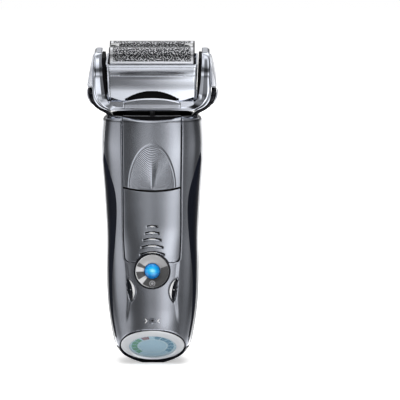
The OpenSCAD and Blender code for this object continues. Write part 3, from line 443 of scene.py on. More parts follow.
plainSteel = finish("plainSteel", (0.56, 0.57, 0.59), metallic=1.0, rough=0.3, grain=2600, grainBump=0.15,
                    shade=0.08, stretch=(0.15, 1, 1))
whitePlastic = finish("whitePlastic", (0.75, 0.75, 0.77), rough=0.45, grain=2500, grainBump=0.15, shade=0.04)
innerPlastic = finish("innerPlastic", (0.05, 0.05, 0.055), rough=0.5, grain=2500, grainBump=0.2, shade=0.1)
boardGreen = finish("boardGreen", (0.02, 0.12, 0.05), rough=0.35, coat=0.4, grain=1800, grainBump=0.15,
                    shade=0.2)
cellBlue = finish("cellBlue", (0.03, 0.16, 0.40), rough=0.3, coat=0.3, grain=900, shade=0.08)
copperWire = finish("copperWire", (0.55, 0.22, 0.08), metallic=0.9, rough=0.3, grain=2200, grainBump=0.6,
                    shade=0.2, stretch=(1, 1, 8))
ironCore = finish("ironCore", (0.16, 0.16, 0.17), metallic=0.9, rough=0.45, grain=2600, grainBump=0.5,
                  shade=0.2, stretch=(0.1, 1, 1))
markGrey = finish("markGrey", (0.42, 0.42, 0.44), grain=3000, shade=0.05)
markWhite = finish("markWhite", (0.85, 0.85, 0.87), grain=3000, shade=0.03)
# near white: a silver crescent on each side button, painted as its highlight, and the louvres' painted glints
silverGlint = finish("silverGlint", (0.95, 0.95, 0.96), metallic=0.15, rough=0.2, coat=0.3, grain=2000,
                        shade=0.02)
windowGlass = finish("windowGlass", (0.55, 0.72, 0.80), rough=0.06, coat=0.8, coatRough=0.03, grain=900,
                     shade=0.03, alpha=0.12, ior=1.45)
# near black: the colour of black parts such as the pin seal, and painted shade in gaps, the neck's rim, the
# head's inner corners and the cassette's lens
blackAndPaintedShade = finish("blackAndPaintedShade", (0.003, 0.003, 0.004), rough=0.6, spec=0.08, grain=2500, grainBump=0.1,
                    shade=0.2)
printPale, printRing, printGreen, printBlue, printRed = (
    finish(name, colour, rough=0.25, coat=0.4, shade=shade) for name, colour, shade in (
        ("printPale", (0.42, 0.60, 0.72), 0.05), ("printRing", (0.60, 0.72, 0.76), 0.04),
        ("printGreen", (0.10, 0.33, 0.17), 0.1), ("printBlue", (0.09, 0.24, 0.36), 0.1),
        ("printRed", (0.30, 0.12, 0.13), 0.08)))
print("finishes ready")


def panelEdge(z, g):
    # half-width of the front panels at height z, rounded at their lower corners, g narrower
    c = panel["corner"]
    h = np.clip(z - panel["bottom"] - g, 0, c)
    return smoothLine(panel["line"], z) - g - c + np.sqrt(np.maximum(c * c - (c - h) ** 2, 0))


def jointLine(x, g):
    # the joint between the panels: an arc that sags towards the middle, g above or below it
    r = (panel["halfWidth"] ** 2 + panel["sag"] ** 2) / (2 * panel["sag"])
    return panel["joint"] + r - np.sqrt((r + g) ** 2 - x * x)


def panelFace(x, z):
    # face of the panels: skin with a shallow trough that fades towards the dial and at the panels' edges
    fade = 0.25 + 0.75 * ramp(z, 56, 72)
    share = np.minimum(np.abs(x), panel["halfWidth"]) / panel["halfWidth"]
    return -skinDepth(body["front"], z, x) + panel["trough"] * fade * (1 - share**2)


def slantPlane(z):
    return slant["front"] + (slant["top"] - z) * math.tan(math.radians(slant["angle"]))


def sunk(x, z):
    # how far the slanted face is set back: only under the display's window and the inner part of its ring
    middle = slant["halfH"] + slant["rim"] + slant["drop"]
    up = (z - slant["top"]) / math.cos(math.radians(slant["angle"])) + middle
    return slant["sink"] * ((x / slant["hiddenW"]) ** 2 + (up / slant["hiddenH"]) ** 2 < 1)


def cutSlant(points, lift=0.0):
    # the front half of the points is kept behind the slanted face
    x, y, z = points[..., 0], points[..., 1], points[..., 2]
    points[..., 1] = np.maximum(y, slantPlane(z) + lift + sunk(x, z) * (y < 0))
    return points


sideButton = dict(x=11.5, z=39.6, length=11.7, bulge=2.9, lean=9.5, gap=0.3, crown=0.6, play=0.12, well=1.6,
                  black=0.42, foot=-13.2, markIn=0.75, markUp=0.1, markOut=0.42, markLong=0.32, markWide=0.07)
reset = dict(z=24.0, well=1.45, sink=0.5, arrowFrom=3.6, arrowTo=2.6, arrowHalfH=1.0, arrowWide=0.19,
             arrowHigh=0.035)
frontForm = dict(
    crease=[[10, 16.6], [17, 15.2], [24, 13.3], [34, 12.3], [44, 12.6], [53, 13.5], [60, 14.6], [90, 15.1],
            [126, 15.4]],
    creaseDepth=0.33, recess=2.45, recessFrom=0.02,
    lowColumns=[[9.6, 12.0], [24, 12.6], [34, 11.6], [53.42, 11.0]],
    dialWell=8.95, dialFloor=-14.0, bedRoll=0.3, bedSlope=0.16, bedSlopeTo=0.75, bedLowHalf=10.9,
    wellRoll=0.5,
)


def lens(x, z, side):
    # signed distance, roughly, to a minus or plus button's outline: straight outer edge, arc inner edge
    a = math.radians(-side * sideButton["lean"])
    dx, dz = x - side * sideButton["x"], z - sideButton["z"]
    u = (dx * math.cos(a) + dz * math.sin(a)) * side
    v = -dx * math.sin(a) + dz * math.cos(a)
    s, l = sideButton["bulge"], sideButton["length"] / 2
    r = (l * l + s * s) / (2 * s)
    inner = np.hypot(u + s - r, v) - r
    return np.maximum(inner, u - sideButton["crown"] * np.maximum(1 - (v / l) ** 2, 0))


def frontFace(x, z):
    # the front shell's face: skin, a little deeper between the two creases below the panels' corners
    crease = straightLine(frontForm["crease"], z)
    inside = 1 - ramp(np.abs(x), crease - 1.4, crease + 0.5)
    step = frontForm["creaseDepth"] * inside * ramp(z, 19.5, 30) * (1 - ramp(z, 52.5, 55))
    return -skinDepth(body["front"], z, x) + step


def buildFrontShell():
    # columns of the face follow the panels' edges, and below them the dial and the buttons
    f = frontForm
    rows = spread([body["shellBottom"], 19.6, 22.2, 25.8, 33, 46.4, 52.9, 53.35, 53.42, 56.2, 89, 122.6,
                   body["top"]],
                  [22, 7, 14, 14, 44, 12, 4, 2, 9, 44, 44, 14])[:, None]
    inside = spread([0, 0.25, 0.52, 0.7, 0.995, 1], [8, 14, 9, 16, 1])
    wing = spread([0, 0.02, 0.06, 0.35, 0.9, 1], [2, 2, 8, 14, 5])
    low = rows < panel["bottom"] + f["recessFrom"]
    px = np.where(low, straightLine(f["lowColumns"], rows), panelEdge(rows, panel["bed"]))
    ex = skinPoint(rows, gripAngle(rows))[..., 0]
    half = np.concatenate([px * inside[None, :], px + (ex - px) * wing[None, 1:]], 1)
    x = np.concatenate([-half[:, :0:-1], half], 1)
    z = rows + 0 * x
    y = frontFace(x, z)
    # recess for the panels, with a soft edge round it
    ax = np.abs(x)
    edge = panelEdge(z, panel["bed"])
    above = z > panel["bottom"]
    deep = above & (ax < edge - 0.004)
    e = np.maximum(np.where(above, ax - edge,
                            np.hypot(np.maximum(ax - f["bedLowHalf"], 0), panel["bottom"] - z)), 0)
    soft = 0.6 * roll(e, f["bedRoll"]) + f["bedSlope"] * np.maximum(f["bedSlopeTo"] - e, 0)
    y = y + np.where(deep, f["recess"], soft)
    # room for the dial and the push buttons
    y = np.where(np.hypot(x, z - dial["z"]) < f["dialWell"], np.maximum(y, f["dialFloor"]), y)
    for side in (-1, 1):
        d = lens(x, z, side) - sideButton["gap"]
        y = y + np.where(d < 0, sideButton["well"], 0.35 * roll(np.maximum(d, 0), f["wellRoll"]))
    y = y + np.where(np.hypot(x, z - reset["z"]) < reset["well"], reset["sink"], 0)
    # the roll at the top, the slanted face at the foot
    inset = rimInset(z)
    y = y + inset
    x = x * (1 - inset / 40)
    y = np.maximum(y, np.where(z < 19.6, slantPlane(z) + sunk(x, z), -99))
    outer = np.stack([x, y, z], -1)
    inner = np.stack([x * 0.985, np.maximum(np.minimum(y + body["wall"], -1.0), y + 0.4), z], -1)
    piece("frontShell", between(outer, inner), "body", ["front_shell"], shellPaint, sharp=32)


def bandPiece(name, zs, aFrom, aTo, columns, bulge, rollR, stands, mat, side):
    # a strip of the skin between two angle lines, bulged outwards and rolled at its two long edges
    z = zs[:, None]
    t = spread([0, 0.06, 0.94, 1], [3, columns, 3])[None, :]
    a = aFrom(z) + (aTo(z) - aFrom(z)) * t
    width = np.maximum(np.linalg.norm(skinPoint(z, aTo(z)) - skinPoint(z, aFrom(z)), axis=-1), 0.05)
    e = np.minimum(t, 1 - t) * width
    bulged = bulge * np.sin(np.pi * t) * ramp(width, 0.5, 4)
    d = roll(e, np.minimum(rollR, width * 0.45)) - bulged + rimInset(z) + 0.25 * roll(z - zs[0], 1.2)
    outer = skinPoint(z + 0 * t, a, d) * [side, 1, 1]
    inner = skinPoint(z + 0 * t, a, np.maximum(d + 0.15, grip["thick"])) * [side, 1, 1]
    piece(name, between(outer, inner), "body", stands, mat, sharp=40)


def buildSides():
    zs = spread([grip["bottom"], 20, 100, grip["top"]], [16, 70, 20])
    full = spread([body["shellBottom"], 20, 104, 122, body["top"]], [12, 60, 20, 10])
    for side, label in ((1, "Right"), (-1, "Left")):
        bandPiece("grip" + label, zs, gripAngle, railAngle, 22, grip["bulge"], grip["roll"],
                  ["grip_" + label.lower()], gripRubber, side)
        bandPiece("sideRail" + label, full, railAngle, edgeAngle, 10, grip["railBulge"], grip["railRoll"],
                  ["side_rail_" + label.lower()], railChrome, side)


rear = dict(bedFrom=94.42, bedHalf=15.1, bedY=14.4, bedInner=12.9, boreFrom=-6, boreTo=9, boreY=21.5,
            screwR=2.05, screwX=16.4, screwZ=(34, 86), contactR=1.85, contactX=5, contactZ=18)


def buildBackShell():
    # skin of the back with a flat bed for the long-hair trimmer, then the bores
    zs = spread([body["shellBottom"], 20, 94.4, 94.45, 120, body["top"]], [14, 60, 1, 24, 12])[:, None]
    bedAngle = 180 - angleOf(zs, rear["bedHalf"] + 0.05)
    left = body["edgeAngle"] + (bedAngle - body["edgeAngle"]) * np.linspace(0, 1, 27)[None, :]
    mid = bedAngle + (360 - 2 * bedAngle) * spread([0, 0.004, 0.996, 1], [1, 30, 1])[None, :]
    a = np.concatenate([left[:, :-1], mid, 360 - left[:, -2::-1]], 1)
    z = zs + 0 * a
    outer = skinPoint(z, a, rimInset(z))
    inner = skinPoint(z, a, rimInset(z) + body["backWall"])
    bed = (z > rear["bedFrom"]) & (np.abs(outer[..., 0]) < rear["bedHalf"])
    outer[..., 1] = np.where(bed, np.minimum(outer[..., 1], rear["bedY"]), outer[..., 1])
    inner[..., 1] = np.where(bed, np.minimum(inner[..., 1], rear["bedInner"]), inner[..., 1])
    shell = piece("backShell", between(outer, inner), "body", ["back_shell"], blackPlastic,
                  sharp=32)
    bores = [(rear["screwR"], x, z) for x in (-rear["screwX"], rear["screwX"]) for z in rear["screwZ"]]
    bores += [(rear["contactR"], x, rear["contactZ"]) for x in (-rear["contactX"], rear["contactX"])]
    for r, x, z in bores:
        lo, hi = rear["boreFrom"], rear["boreTo"]
        cutWith(shell, skin(turned([[0, lo], [r, lo], [r, hi], [0, hi]], (x, rear["boreY"], z), 48)))


socketRoom = ((-5.15, 1.05, -1), (5.15, 8.95, 3))
seal = dict(rings=((8.75, 0.25), (9.7, 0.25), (9.7, 1.6), (8.75, 1.6)), lift=0.1)


def buildBase():
    # foot cap: rings of the skin, cut by the slanted face and drawn together at both ends
    a = roundTrip(180, -180)
    rings = cutSlant(skinPoint(spread([0, 0.8, 2.2, 8.8], [3, 4, 20])[:, None], a[None, :]))
    mid = rings.mean(axis=1, keepdims=True) * np.array([0, 1, 1]) + np.zeros((1, len(a), 1))
    cap = piece("baseCap", skin(np.concatenate([mid[:1], rings, mid[-1:]])), "body",
                ["base_cap"], blackGloss, sharp=30)
    cutWith(cap, boxPart(*socketRoom))
    # thin seal between the cap and the shells
    rings = cutSlant(np.array([skinRing(z, a, d) for z, d in seal["rings"]]), seal["lift"])
    piece("baseSeal", skin(rings, closed=True), "body", ["base_seal"], gripRubber)


display = dict(
    windowLift=0.2, panelLift=-0.95, printLift=-0.86, printThick=0.08, share=(0.66, 0.9),
    rings=[(0.93, 0.97), (0.60, 0.635)],
    greens=(132, 152, 172, 192, 212), blues=(66, 45, 24, 3, -18, -39), segment=17, red=(101, 124),
    rim=[[0, -0.6], [0.05, 0.06], [0.5, 0.12], [1, 0.0], [1, -0.6]], rimWidth=0.6,
    bezel=[[0, -1.4], [0, -0.05], [0.02, 0.12], [0.07, 0.27], [0.2, 0.4], [0.45, 0.38], [0.7, 0.22],
           [0.9, 0.0], [0.97, -0.1], [1, -0.3], [1, -1.4]],
)


def ellipseBand(name, outer, inner, drop, profile, stands, mat):
    # a ring on the slanted face: t runs from the outer to the inner ellipse, the profile gives [t, height]
    th = np.radians(roundTrip(144))
    p = np.asarray(profile, float)
    t, h = p[:, :1], p[:, 1:2]
    ax = outer[0] + (inner[0] - outer[0]) * t
    bx = outer[1] + (inner[1] - outer[1]) * t
    ring = np.stack([ax * np.cos(th), bx * np.sin(th) - drop * t, h + 0 * th], -1)
    piece(name, skin(ring, closed=True), "body", stands, mat, sharp=45, into=onSlant)


def slantDisc(name, a, b, height, crown, stands, mat, thick=0.4):
    # a domed elliptical disc on the slanted face
    th = np.radians(roundTrip(96))
    k = np.array([0, 0.3, 0.6, 0.85, 0.97, 1.0])[:, None]
    top = np.stack([a * k * np.cos(th), b * k * np.sin(th) - slant["drop"],
                    height - crown * k**2 + 0 * th], -1)
    low = top[::-1].copy()
    low[..., 2] = height - crown - thick
    piece(name, skin(np.concatenate([top, low])), "body", stands, mat, sharp=40, into=onSlant)


def sector(share, a0, a1, n=10):
    # a flat slice of the printed ring between two angles and two shares of the window's ellipse
    t = np.radians(np.linspace(a0, a1, n))[None, :]
    k = np.array(share)[:, None]
    x, y = slant["windowW"] * k * np.cos(t), slant["windowH"] * k * np.sin(t) - slant["drop"]
    top = np.stack([x, y, display["printLift"] + 0 * x], -1)
    return between(top, top - [0, 0, display["printThick"]])


def buildDisplay():
    d, s = display, slant
    rimW, rimH = s["halfW"] + s["rim"], s["halfH"] + s["rim"]
    ellipseBand("displayRim", (rimW, rimH), (rimW - d["rimWidth"], rimH - d["rimWidth"]), 0, d["rim"],
                [], blackGloss)
    ellipseBand("displayBezel", (s["halfW"] - 0.05, s["halfH"] - 0.05),
                (s["windowW"] + 0.1, s["windowH"] + 0.1), s["drop"], d["bezel"],
                ["display_bezel"], silverPaint)
    slantDisc("displayWindow", s["windowW"] + 0.05, s["windowH"] + 0.05, d["windowLift"], 0.35,
              ["display_window"], windowGlass, thick=0.3)
    slantDisc("displayPanel", s["windowW"] + 0.4, s["windowH"] + 0.3, d["panelLift"], 0.0,
              ["display_panel"], printPale)
    prints = (
        ("printRings", [sector(share, 0, 360, 90) for share in d["rings"]], printRing),
        ("printGreenSegments", [sector(d["share"], a, a + d["segment"]) for a in d["greens"]], printGreen),
        ("printBlueSegments", [sector(d["share"], a, a + d["segment"]) for a in d["blues"]], printBlue),
        ("printRedSegment", [sector(d["share"], *d["red"])], printRed),
    )
    for name, parts, mat in prints:
        piece(name, joined(parts), "body", [], mat, into=onSlant)


arch = dict(top=113.5, halfW=12.1, knurl=0.05, knurlTo=(0.9, 0.945), pitch=0.86, dip=0.3, edge=(0.955, 1.0),
            share=0.6, hollow=0.5, hollowAt=(112, 90), valley=0.22, valleyAt=(108, 98), valleyHalf=1.2,
            valleyOpen=0.12, bevel=1.5, bevelHalf=11.5)
ribs = dict(z=[72.3, 69.1, 65.9, 62.5, 59.2], width=[5.5, 7.4, 9.2, 11.1, 12.8], radius=16.0, height=0.42)


def ribForm(x, z, k):
    # depth of rib k: cut along an arc, steep at its upper side, with a long slope below it
    arc = ribs["z"][k] - (ribs["radius"] - np.sqrt(ribs["radius"] ** 2 - x * x))
    s = arc - z
    taper = np.sqrt(np.clip(1 - (2 * x / ribs["width"][k]) ** 2, 0, 1))
    return ribs["height"] * taper * ramp(s, -0.12, 0.12) * (1 - ramp(s, 0.3, 1.5))


def buildThumbPanel():
    cols = spread([-1, -0.976, -0.84, 0.84, 0.976, 1], [5, 8, 160, 8, 5])[None, :]
    v = spread([0, 0.012, 0.02, 0.66, 0.92, 0.975, 1], [4, 2, 160, 20, 10, 7])[:, None]
    x0 = cols * 14.4
    low = jointLine(x0, -panel["gap"] / 2)
    top = body["top"] - panel["topFall"] - panel["scoop"] * (1 - (x0 / panel["halfWidth"]) ** 2)
    z = low + (top - low) * v
    half = panelEdge(z, panel["inset"])
    x = cols * half
    e = np.minimum(np.minimum(half - np.abs(x), z - low), 9)
    y = panelFace(x, z) + roll(e, panel["edgeRoll"])
    # the lip at the top: a bevel whose lower edge is an arc, then a roll
    lip = top - z
    arc = arch["bevel"] * np.sqrt(np.maximum(1 - (x / arch["bevelHalf"]) ** 2, 0))
    y = y + np.where(arc > 0.05, 0.6 * np.maximum(arc - lip, 0), 0) + 0.7 * roll(lip, 0.7)
    scoop = panel["scoop"] * (1 - (x / panel["halfWidth"]) ** 2)
    y = y + 0.6 * np.minimum(rimInset(z + scoop - 0.4), 0.8)
    # thumb arch: a half ellipse dished below the face, a valley up its middle, fine ribs along ellipses
    a, archH = arch, arch["top"] - low
    q = np.sqrt((x / a["halfW"]) ** 2 + (np.maximum(z - low, 0) / archH) ** 2)
    inside = 1 - ramp(q, *a["edge"])
    hollow = a["hollow"] * (1 - (x / a["halfW"]) ** 2) * ramp(z, *a["hollowAt"])
    dish = inside * (a["dip"] * (1 - 0.35 * ramp(q, 0, 1)) + hollow)
    across = np.maximum(1 - np.abs(x) / (a["valleyHalf"] + a["valleyOpen"] * (z - low)), 0)
    valley = a["valley"] * across * inside * ramp(z, *a["valleyAt"])
    lines = np.sin(2 * np.pi * q * archH / a["pitch"]) * (1 - ramp(q, *a["knurlTo"]))
    y = y + a["share"] * dish + valley - a["knurl"] * lines
    piece("thumbPanel", sheet(x, y, z, panel["thick"] + panel["upperMore"]), "head_lock",
          ["thumb_slide"], panelPaint, sharp=30)


# sizes of the painted shade in the panels' gaps and of the louvres' painted shadows and glints
shadeAndGlints = dict(gap=0.1, back=0.32, deep=0.25, edge=-0.08, top=122.0, stripHalf=14.15, strip=(-0.06, 0.58),
             stripIn=0.16, stripDeep=1.3, glintShare=0.2, glintDrop=-0.38, shadowRise=0.12, out=0.05,
             insertDeep=0.5)


def buildShadeAndGlints():
    # painted shade: a dark plate behind both front panels, seen through the gaps round them, which darkens
    # them
    z = spread([panel["bottom"] + 0.15, 56.2, shadeAndGlints["top"]], [10, 60])[:, None]
    x = np.linspace(-1, 1, 25)[None, :] * panelEdge(z, shadeAndGlints["edge"])
    y = panelFace(x, z) + panel["thick"] + shadeAndGlints["gap"] + shadeAndGlints["back"] * ramp(z, 88, 90)
    piece("panelShadePlate", sheet(x, y, z, shadeAndGlints["deep"]), "body", [], blackAndPaintedShade)
    # painted shade: a black strip along the lower panel's upper edge, filling most of the joint
    x = np.linspace(-1, 1, 61)[None, :] * shadeAndGlints["stripHalf"]
    z = jointLine(x, panel["gap"] / 2) + np.linspace(*shadeAndGlints["strip"], 5)[:, None]
    strip = sheet(x, panelFace(x, z) + shadeAndGlints["stripIn"], z, shadeAndGlints["stripDeep"])
    piece("jointShadeStrip", strip, "body", [], blackAndPaintedShade)
    # painted shade and painted highlight: dark crescents in the louvres, thickest at their ends, and a bright
    # glint under the middle of each
    dark, bright = [], []
    u = np.sin(np.linspace(-np.pi / 2, np.pi / 2, 33))[None, :]
    t = np.linspace(0, 1, 7)[:, None]
    shadowDepth = (0.42 + 0.6 * np.abs(u) ** 1.5) * np.sqrt(np.maximum(1 - u**8, 0))
    glintDepth = 0.55 * np.sqrt(np.maximum(1 - u**2, 0))
    for k, w in enumerate(ribs["width"]):
        for half, up, deep, parts in ((w / 2, shadeAndGlints["shadowRise"], shadowDepth, dark),
                                      (shadeAndGlints["glintShare"] * w, shadeAndGlints["glintDrop"], glintDepth, bright)):
            x = u * half
            z = ribs["z"][k] - (ribs["radius"] - np.sqrt(ribs["radius"] ** 2 - x * x)) + up - deep * t
            y = panelFace(x, z) + ribForm(x, z, k) - shadeAndGlints["out"]
            parts.append(sheet(x, y, z, shadeAndGlints["insertDeep"]))
    piece("louvreShadows", joined(dark), "body", [], blackAndPaintedShade)
    piece("louvreGlints", joined(bright), "body", [], silverGlint)


def buildLowerPanel():
    cols = spread([-1, -0.976, -0.56, 0.56, 0.976, 1], [5, 16, 60, 16, 5])[None, :]
    v = spread([0, 0.02, 0.075, 0.12, 0.58, 0.985, 1], [5, 10, 4, 110, 34, 5])[:, None]
    bottom = panel["bottom"] + panel["inset"] + 0.02
    top = jointLine(cols * 14.2, panel["gap"] / 2)
    z = bottom + (top - bottom) * v
    half = panelEdge(z, panel["inset"])
    x = cols * half
    e = np.minimum(np.minimum(half - np.abs(x), top - z), z - bottom + 0.02)
    y = panelFace(x, z) + roll(e, panel["edgeRoll"])
    for k in range(len(ribs["z"])):
        y = y + ribForm(x, z, k)
    atDial = np.hypot(x, z - dial["z"]) < dial["r"] + panel["dialPlay"]
    y = np.where(atDial, np.maximum(y, panel["dialFloor"]), y)
    piece("lowerPanel", sheet(x, y, z, panel["thick"] + panel["lowerMore"]), "body",
          ["lower_panel"], panelPaint, sharp=30)


def lathePiece(name, profile, at, ride, stands, mat, segments=96, closed=False, sharp=35):
    # a turned piece from a profile of [radius, height], the height measured outwards from its place
    piece(name, skin(turned(profile, at, segments), closed), ride, stands, mat, sharp=sharp)


# the tones are painted reflection: light and dark sectors of the disc by angle
spunSheen = dict(
    pitch=0.22, relief=0.03,
    tones=[(-180, 0.82), (-176, 0.10), (-149, 0.11), (-146, 0.80), (-129, 0.85), (-126, 0.09), (-60, 0.10),
           (10, 0.12), (19, 0.13), (21, 0.50), (60, 0.56), (110, 0.52), (144, 0.55), (147, 0.12),
           (160, 0.13), (163, 0.82)],
)


def discSheenSectors():
    # spun metal: fine rings in the bump; the light and dark sectors are a painted reflection, set in the
    # colour by the angle round the dial
    mat, net, shader, where = tree("spunDiscSheen", Metallic=0.55, Roughness=0.32)
    split = node(net, "SeparateXYZ", {"Vector": where})
    across = split.outputs["X"]
    up = combine(net, "Math", "SUBTRACT", split.outputs["Z"], dial["z"] * 0.001)
    turn = combine(net, "Math", "ARCTAN2", up, across)
    wire(net, toneRamp(net, turn, spunSheen["tones"], 180, blue=1.02), shader.inputs["Base Color"])
    flat = node(net, "CombineXYZ", {"X": across, "Y": up})
    reach = node(net, "VectorMath", {0: flat}, operation="LENGTH").outputs["Value"]
    wave = combine(net, "Math", "MULTIPLY", reach, 2 * math.pi / (spunSheen["pitch"] * 0.001))
    relief(net, node(net, "Math", {0: wave}, operation="SINE"), shader, 0.12, spunSheen["relief"])
    return mat


# the power button's painted light: a pale highlight in the middle, painted shade towards the rim
dome = dict(
    squash=1.25, lift=0.5, cloud=1.2, highlightTo=0.8, shadeFrom=4.5,
    tones=[(0, (0.35, 0.95, 1.0)), (0.42, (0.01, 0.52, 1.0)), (0.75, (0.0, 0.31, 0.80)),
           (1, (0.0, 0.17, 0.50))],
)


def blueDomePaintedLight():
    # tinted dome with painted light: a painted highlight in the middle, painted shade in deep blue towards
    # its rim, by distance plus a soft cloud
    mat, net, shader, where = tree("blueDomePaintedLight", Roughness=0.12, Coat_Weight=0.7, Coat_Roughness=0.04)
    centre = (0, dial["face"] * 0.001, (dial["z"] + dome["lift"]) * 0.001)
    shift = combine(net, "VectorMath", "SUBTRACT", where, centre)
    flat = combine(net, "VectorMath", "MULTIPLY", shift, (1, 0, dome["squash"]))
    reach = node(net, "VectorMath", {0: flat}, operation="LENGTH").outputs["Value"]
    cloud = node(net, "TexNoise", {"Vector": where}, {"Scale": 600})
    both = node(net, "Math", {0: cloud, 2: reach}, {1: dome["cloud"] * 0.001}, operation="MULTIPLY_ADD")
    share = span(net, both, dome["highlightTo"] * 0.001, dome["shadeFrom"] * 0.001)
    wire(net, colourRamp(net, share, dome["tones"]), shader.inputs["Base Color"])
    return mat


def buildDial():
    r, b = dial["r"], dial["buttonR"]
    inner = r - dial["ringWidth"]
    middle, icon = (0, dial["face"], dial["z"]), (0, dial["face"], dial["iconZ"])
    ring = [[r + 0.12, -2.2], [r + 0.12, 0.02], [r + 0.04, 0.14], [r - 0.2, 0.2], [inner + 0.12, 0.16],
            [inner + 0.02, 0.02], [inner, -0.3], [inner, -2.2]]
    lathePiece("dialRing", ring, middle, "body", ["dial_ring"], blackGloss, closed=True)
    hair = [[inner, -0.5], [inner, -0.02], [inner - 0.1, 0.04], [inner - 0.3, 0.02], [inner - 0.34, -0.5]]
    lathePiece("dialHairline", hair, middle, "body", [], brightSteel, closed=True)
    hole = b + dial["buttonGap"]
    disc = [[hole, -2.2], [hole, -0.45], [b + 0.4, -0.3], [6, -0.22], [inner - 0.3, -0.14],
            [inner - 0.3, -2.2]]
    lathePiece("dialDisc", disc, middle, "body", ["dial_disc"], discSheenSectors(), closed=True)
    crown = [[0, 1.15], [0.9, 1.1], [1.9, 0.93], [2.8, 0.62], [3.35, 0.3], [b - 0.22, -0.02],
             [b - 0.04, -0.3], [b, -0.8], [b, -3], [0, -3]]
    lathePiece("powerButton", crown, middle, "power_key", ["power_button"], blueDomePaintedLight(),
               sharp=60)
    mark = [[1.5, -0.34], [1.5, -0.2], [1.42, -0.16], [1.2, -0.16], [1.12, -0.2], [1.12, -0.34]]
    lathePiece("dialIcon", mark, icon, "body", [], markGrey, segments=48, closed=True)
    dot = [[0, -0.16], [0.6, -0.17], [0.68, -0.22], [0.68, -0.34], [0, -0.34]]
    lathePiece("dialIconDot", dot, icon, "body", [], markGrey, segments=32)


def buildSideButtons():
    # v runs along a button, reach is its inner arc; a ridge parts the black cap from the bright crescent, a
    # silver half painted near white as the highlight on the button's inner side
    b = sideButton
    l, s = b["length"] / 2 - b["play"], b["bulge"] - b["play"]
    r = (l * l + s * s) / (2 * s)
    v = l * np.sin(np.linspace(-np.pi / 2, np.pi / 2, 49))[:, None]
    t = np.linspace(0, 1, 9)[None, :]
    reach = np.sqrt(np.maximum(r * r - v * v, 0)) - (r - s)
    limit = np.minimum(reach, np.maximum(s * (1 - (v / (0.9 * l)) ** 2) * b["black"], 0))
    outward = b["crown"] * (1 - (v / l) ** 2)
    full = np.clip(reach * 0.8, 0, 1) * np.ones_like(t)
    halves = (("Cap", -outward + (reach - limit + outward) * t, 0.15 + 0.3 * t, blackGloss),
              ("Shine", reach - limit + limit * t, 0.45 - 0.55 * t, silverGlint))
    for side, name in ((-1, "minus"), (1, "plus")):
        a = math.radians(-side * b["lean"])
        for part, across, crest, mat in halves:
            u = -side * across
            x = side * b["x"] + u * math.cos(a) - v * math.sin(a)
            z = b["z"] + u * math.sin(a) + v * math.cos(a)
            y = frontFace(x, z) - crest * full + 0.15 * (1 - full)
            form = between(np.stack([x, y, z], -1), np.stack([x, b["foot"] + 0 * y, z], -1))
            stands = [name + "_button"] if part == "Cap" else []
            piece(name + part, form, name + "_key", stands, mat, sharp=50)
        # the mark on the black half: a short bar, crossed on the plus side
        cx, cz = side * (b["x"] - b["markIn"]), b["z"] + b["markUp"]
        y = float(frontFace(np.array(cx), np.array(cz))) - b["markOut"]
        sizes = [(b["markLong"], b["markWide"])]
        if side > 0:
            sizes.append((b["markWide"], b["markLong"]))
        bars = [boxPart((cx - w, y - 0.03, cz - h), (cx + w, y + 0.3, cz + h)) for w, h in sizes]
        piece(name + "Mark", joined(bars), name + "_key", [], markWhite)


def buildReset():
    # pin-hole in a dimple, and two arrow marks of two strokes each beside it
    z0, well = reset["z"], reset["well"] + 0.05
    at = (0, float(frontFace(np.array(0.0), np.array(z0))), z0)
    dimple = [[well, -0.5], [well, 0.02], [1.38, 0.03], [1.2, -0.08], [1.0, -0.3], [0.86, -0.6], [0.86, -2],
              [well, -2]]
    lathePiece("resetDimple", dimple, at, "body", [], shellPaint, segments=48, closed=True)
    pin = [[0, -0.35], [0.45, -0.38], [0.66, -0.5], [0.68, -2], [0, -2]]
    lathePiece("resetPin", pin, at, "reset_key", ["reset_button"], blackPlastic, segments=32)
    t = np.linspace(0, 1, 9)[:, None]
    for side, label in ((-1, "Left"), (1, "Right")):
        for dz, half in ((-reset["arrowHalfH"], "Low"), (reset["arrowHalfH"], "High")):
            tail, tip = np.array([side * reset["arrowFrom"], dz]), np.array([side * reset["arrowTo"], 0.0])
            run = tip - tail
            n = np.array([-run[1], run[0]]) / np.linalg.norm(run) * reset["arrowWide"]
            line = tail + run * t
            edge = np.stack([line + n, line - n], 1)
            x, z = edge[..., 0], edge[..., 1] + z0
            form = sheet(x, frontFace(x, z) - reset["arrowHigh"], z, 0.3 + reset["arrowHigh"])
            piece("resetArrow" + label + half, form, "body", [], markWhite)


yoke = dict(
    x=29.7, halfD=4.8, disc=5.5, corner=0.55,
    path=[[19.5, 121.5], [20.6, 125.4], [22.8, 127.8], [26.0, 129.5], [28.0, 131.1], [29.1, 132.5]],
    thick=[[0, 1.6], [0.35, 0.85], [0.6, 0.8], [1, 0.9]],
    tuck=[[-5.5, 3.2], [-4.7, 3.0], [-3.0, 1.7], [-0.4, 0.55], [2.1, 0.0]],
    button=[[0, 3.55], [1.4, 3.5], [2.7, 3.33], [3.6, 3.1], [4.05, 2.9], [4.25, 2.75], [4.25, 2.6],
            [2.7, 2.6], [2.7, 3.1], [0, 3.15]],
    collar=[(1.35, -0.5), (1.35, 0.1), (1.5, 0.16), (2.6, 0.16), (2.6, -2.6)],
    deck=[(119.2, 2.2), (124.0, 2.2), (124.35, 2.5), (124.4, 6)], deckDepth=(-13.4, 12.5),
)


def armDisc(profile, side):
    # a profile turned about the tilt axis on one arm; its height runs inwards, and it leans in below the axis
    ring = turned(profile, segments=64)
    x = side * (yoke["x"] - ring[..., 1] - straightLine(yoke["tuck"], ring[..., 2]))
    return np.stack([x, ring[..., 0], head["pivot"] + ring[..., 2]], -1)


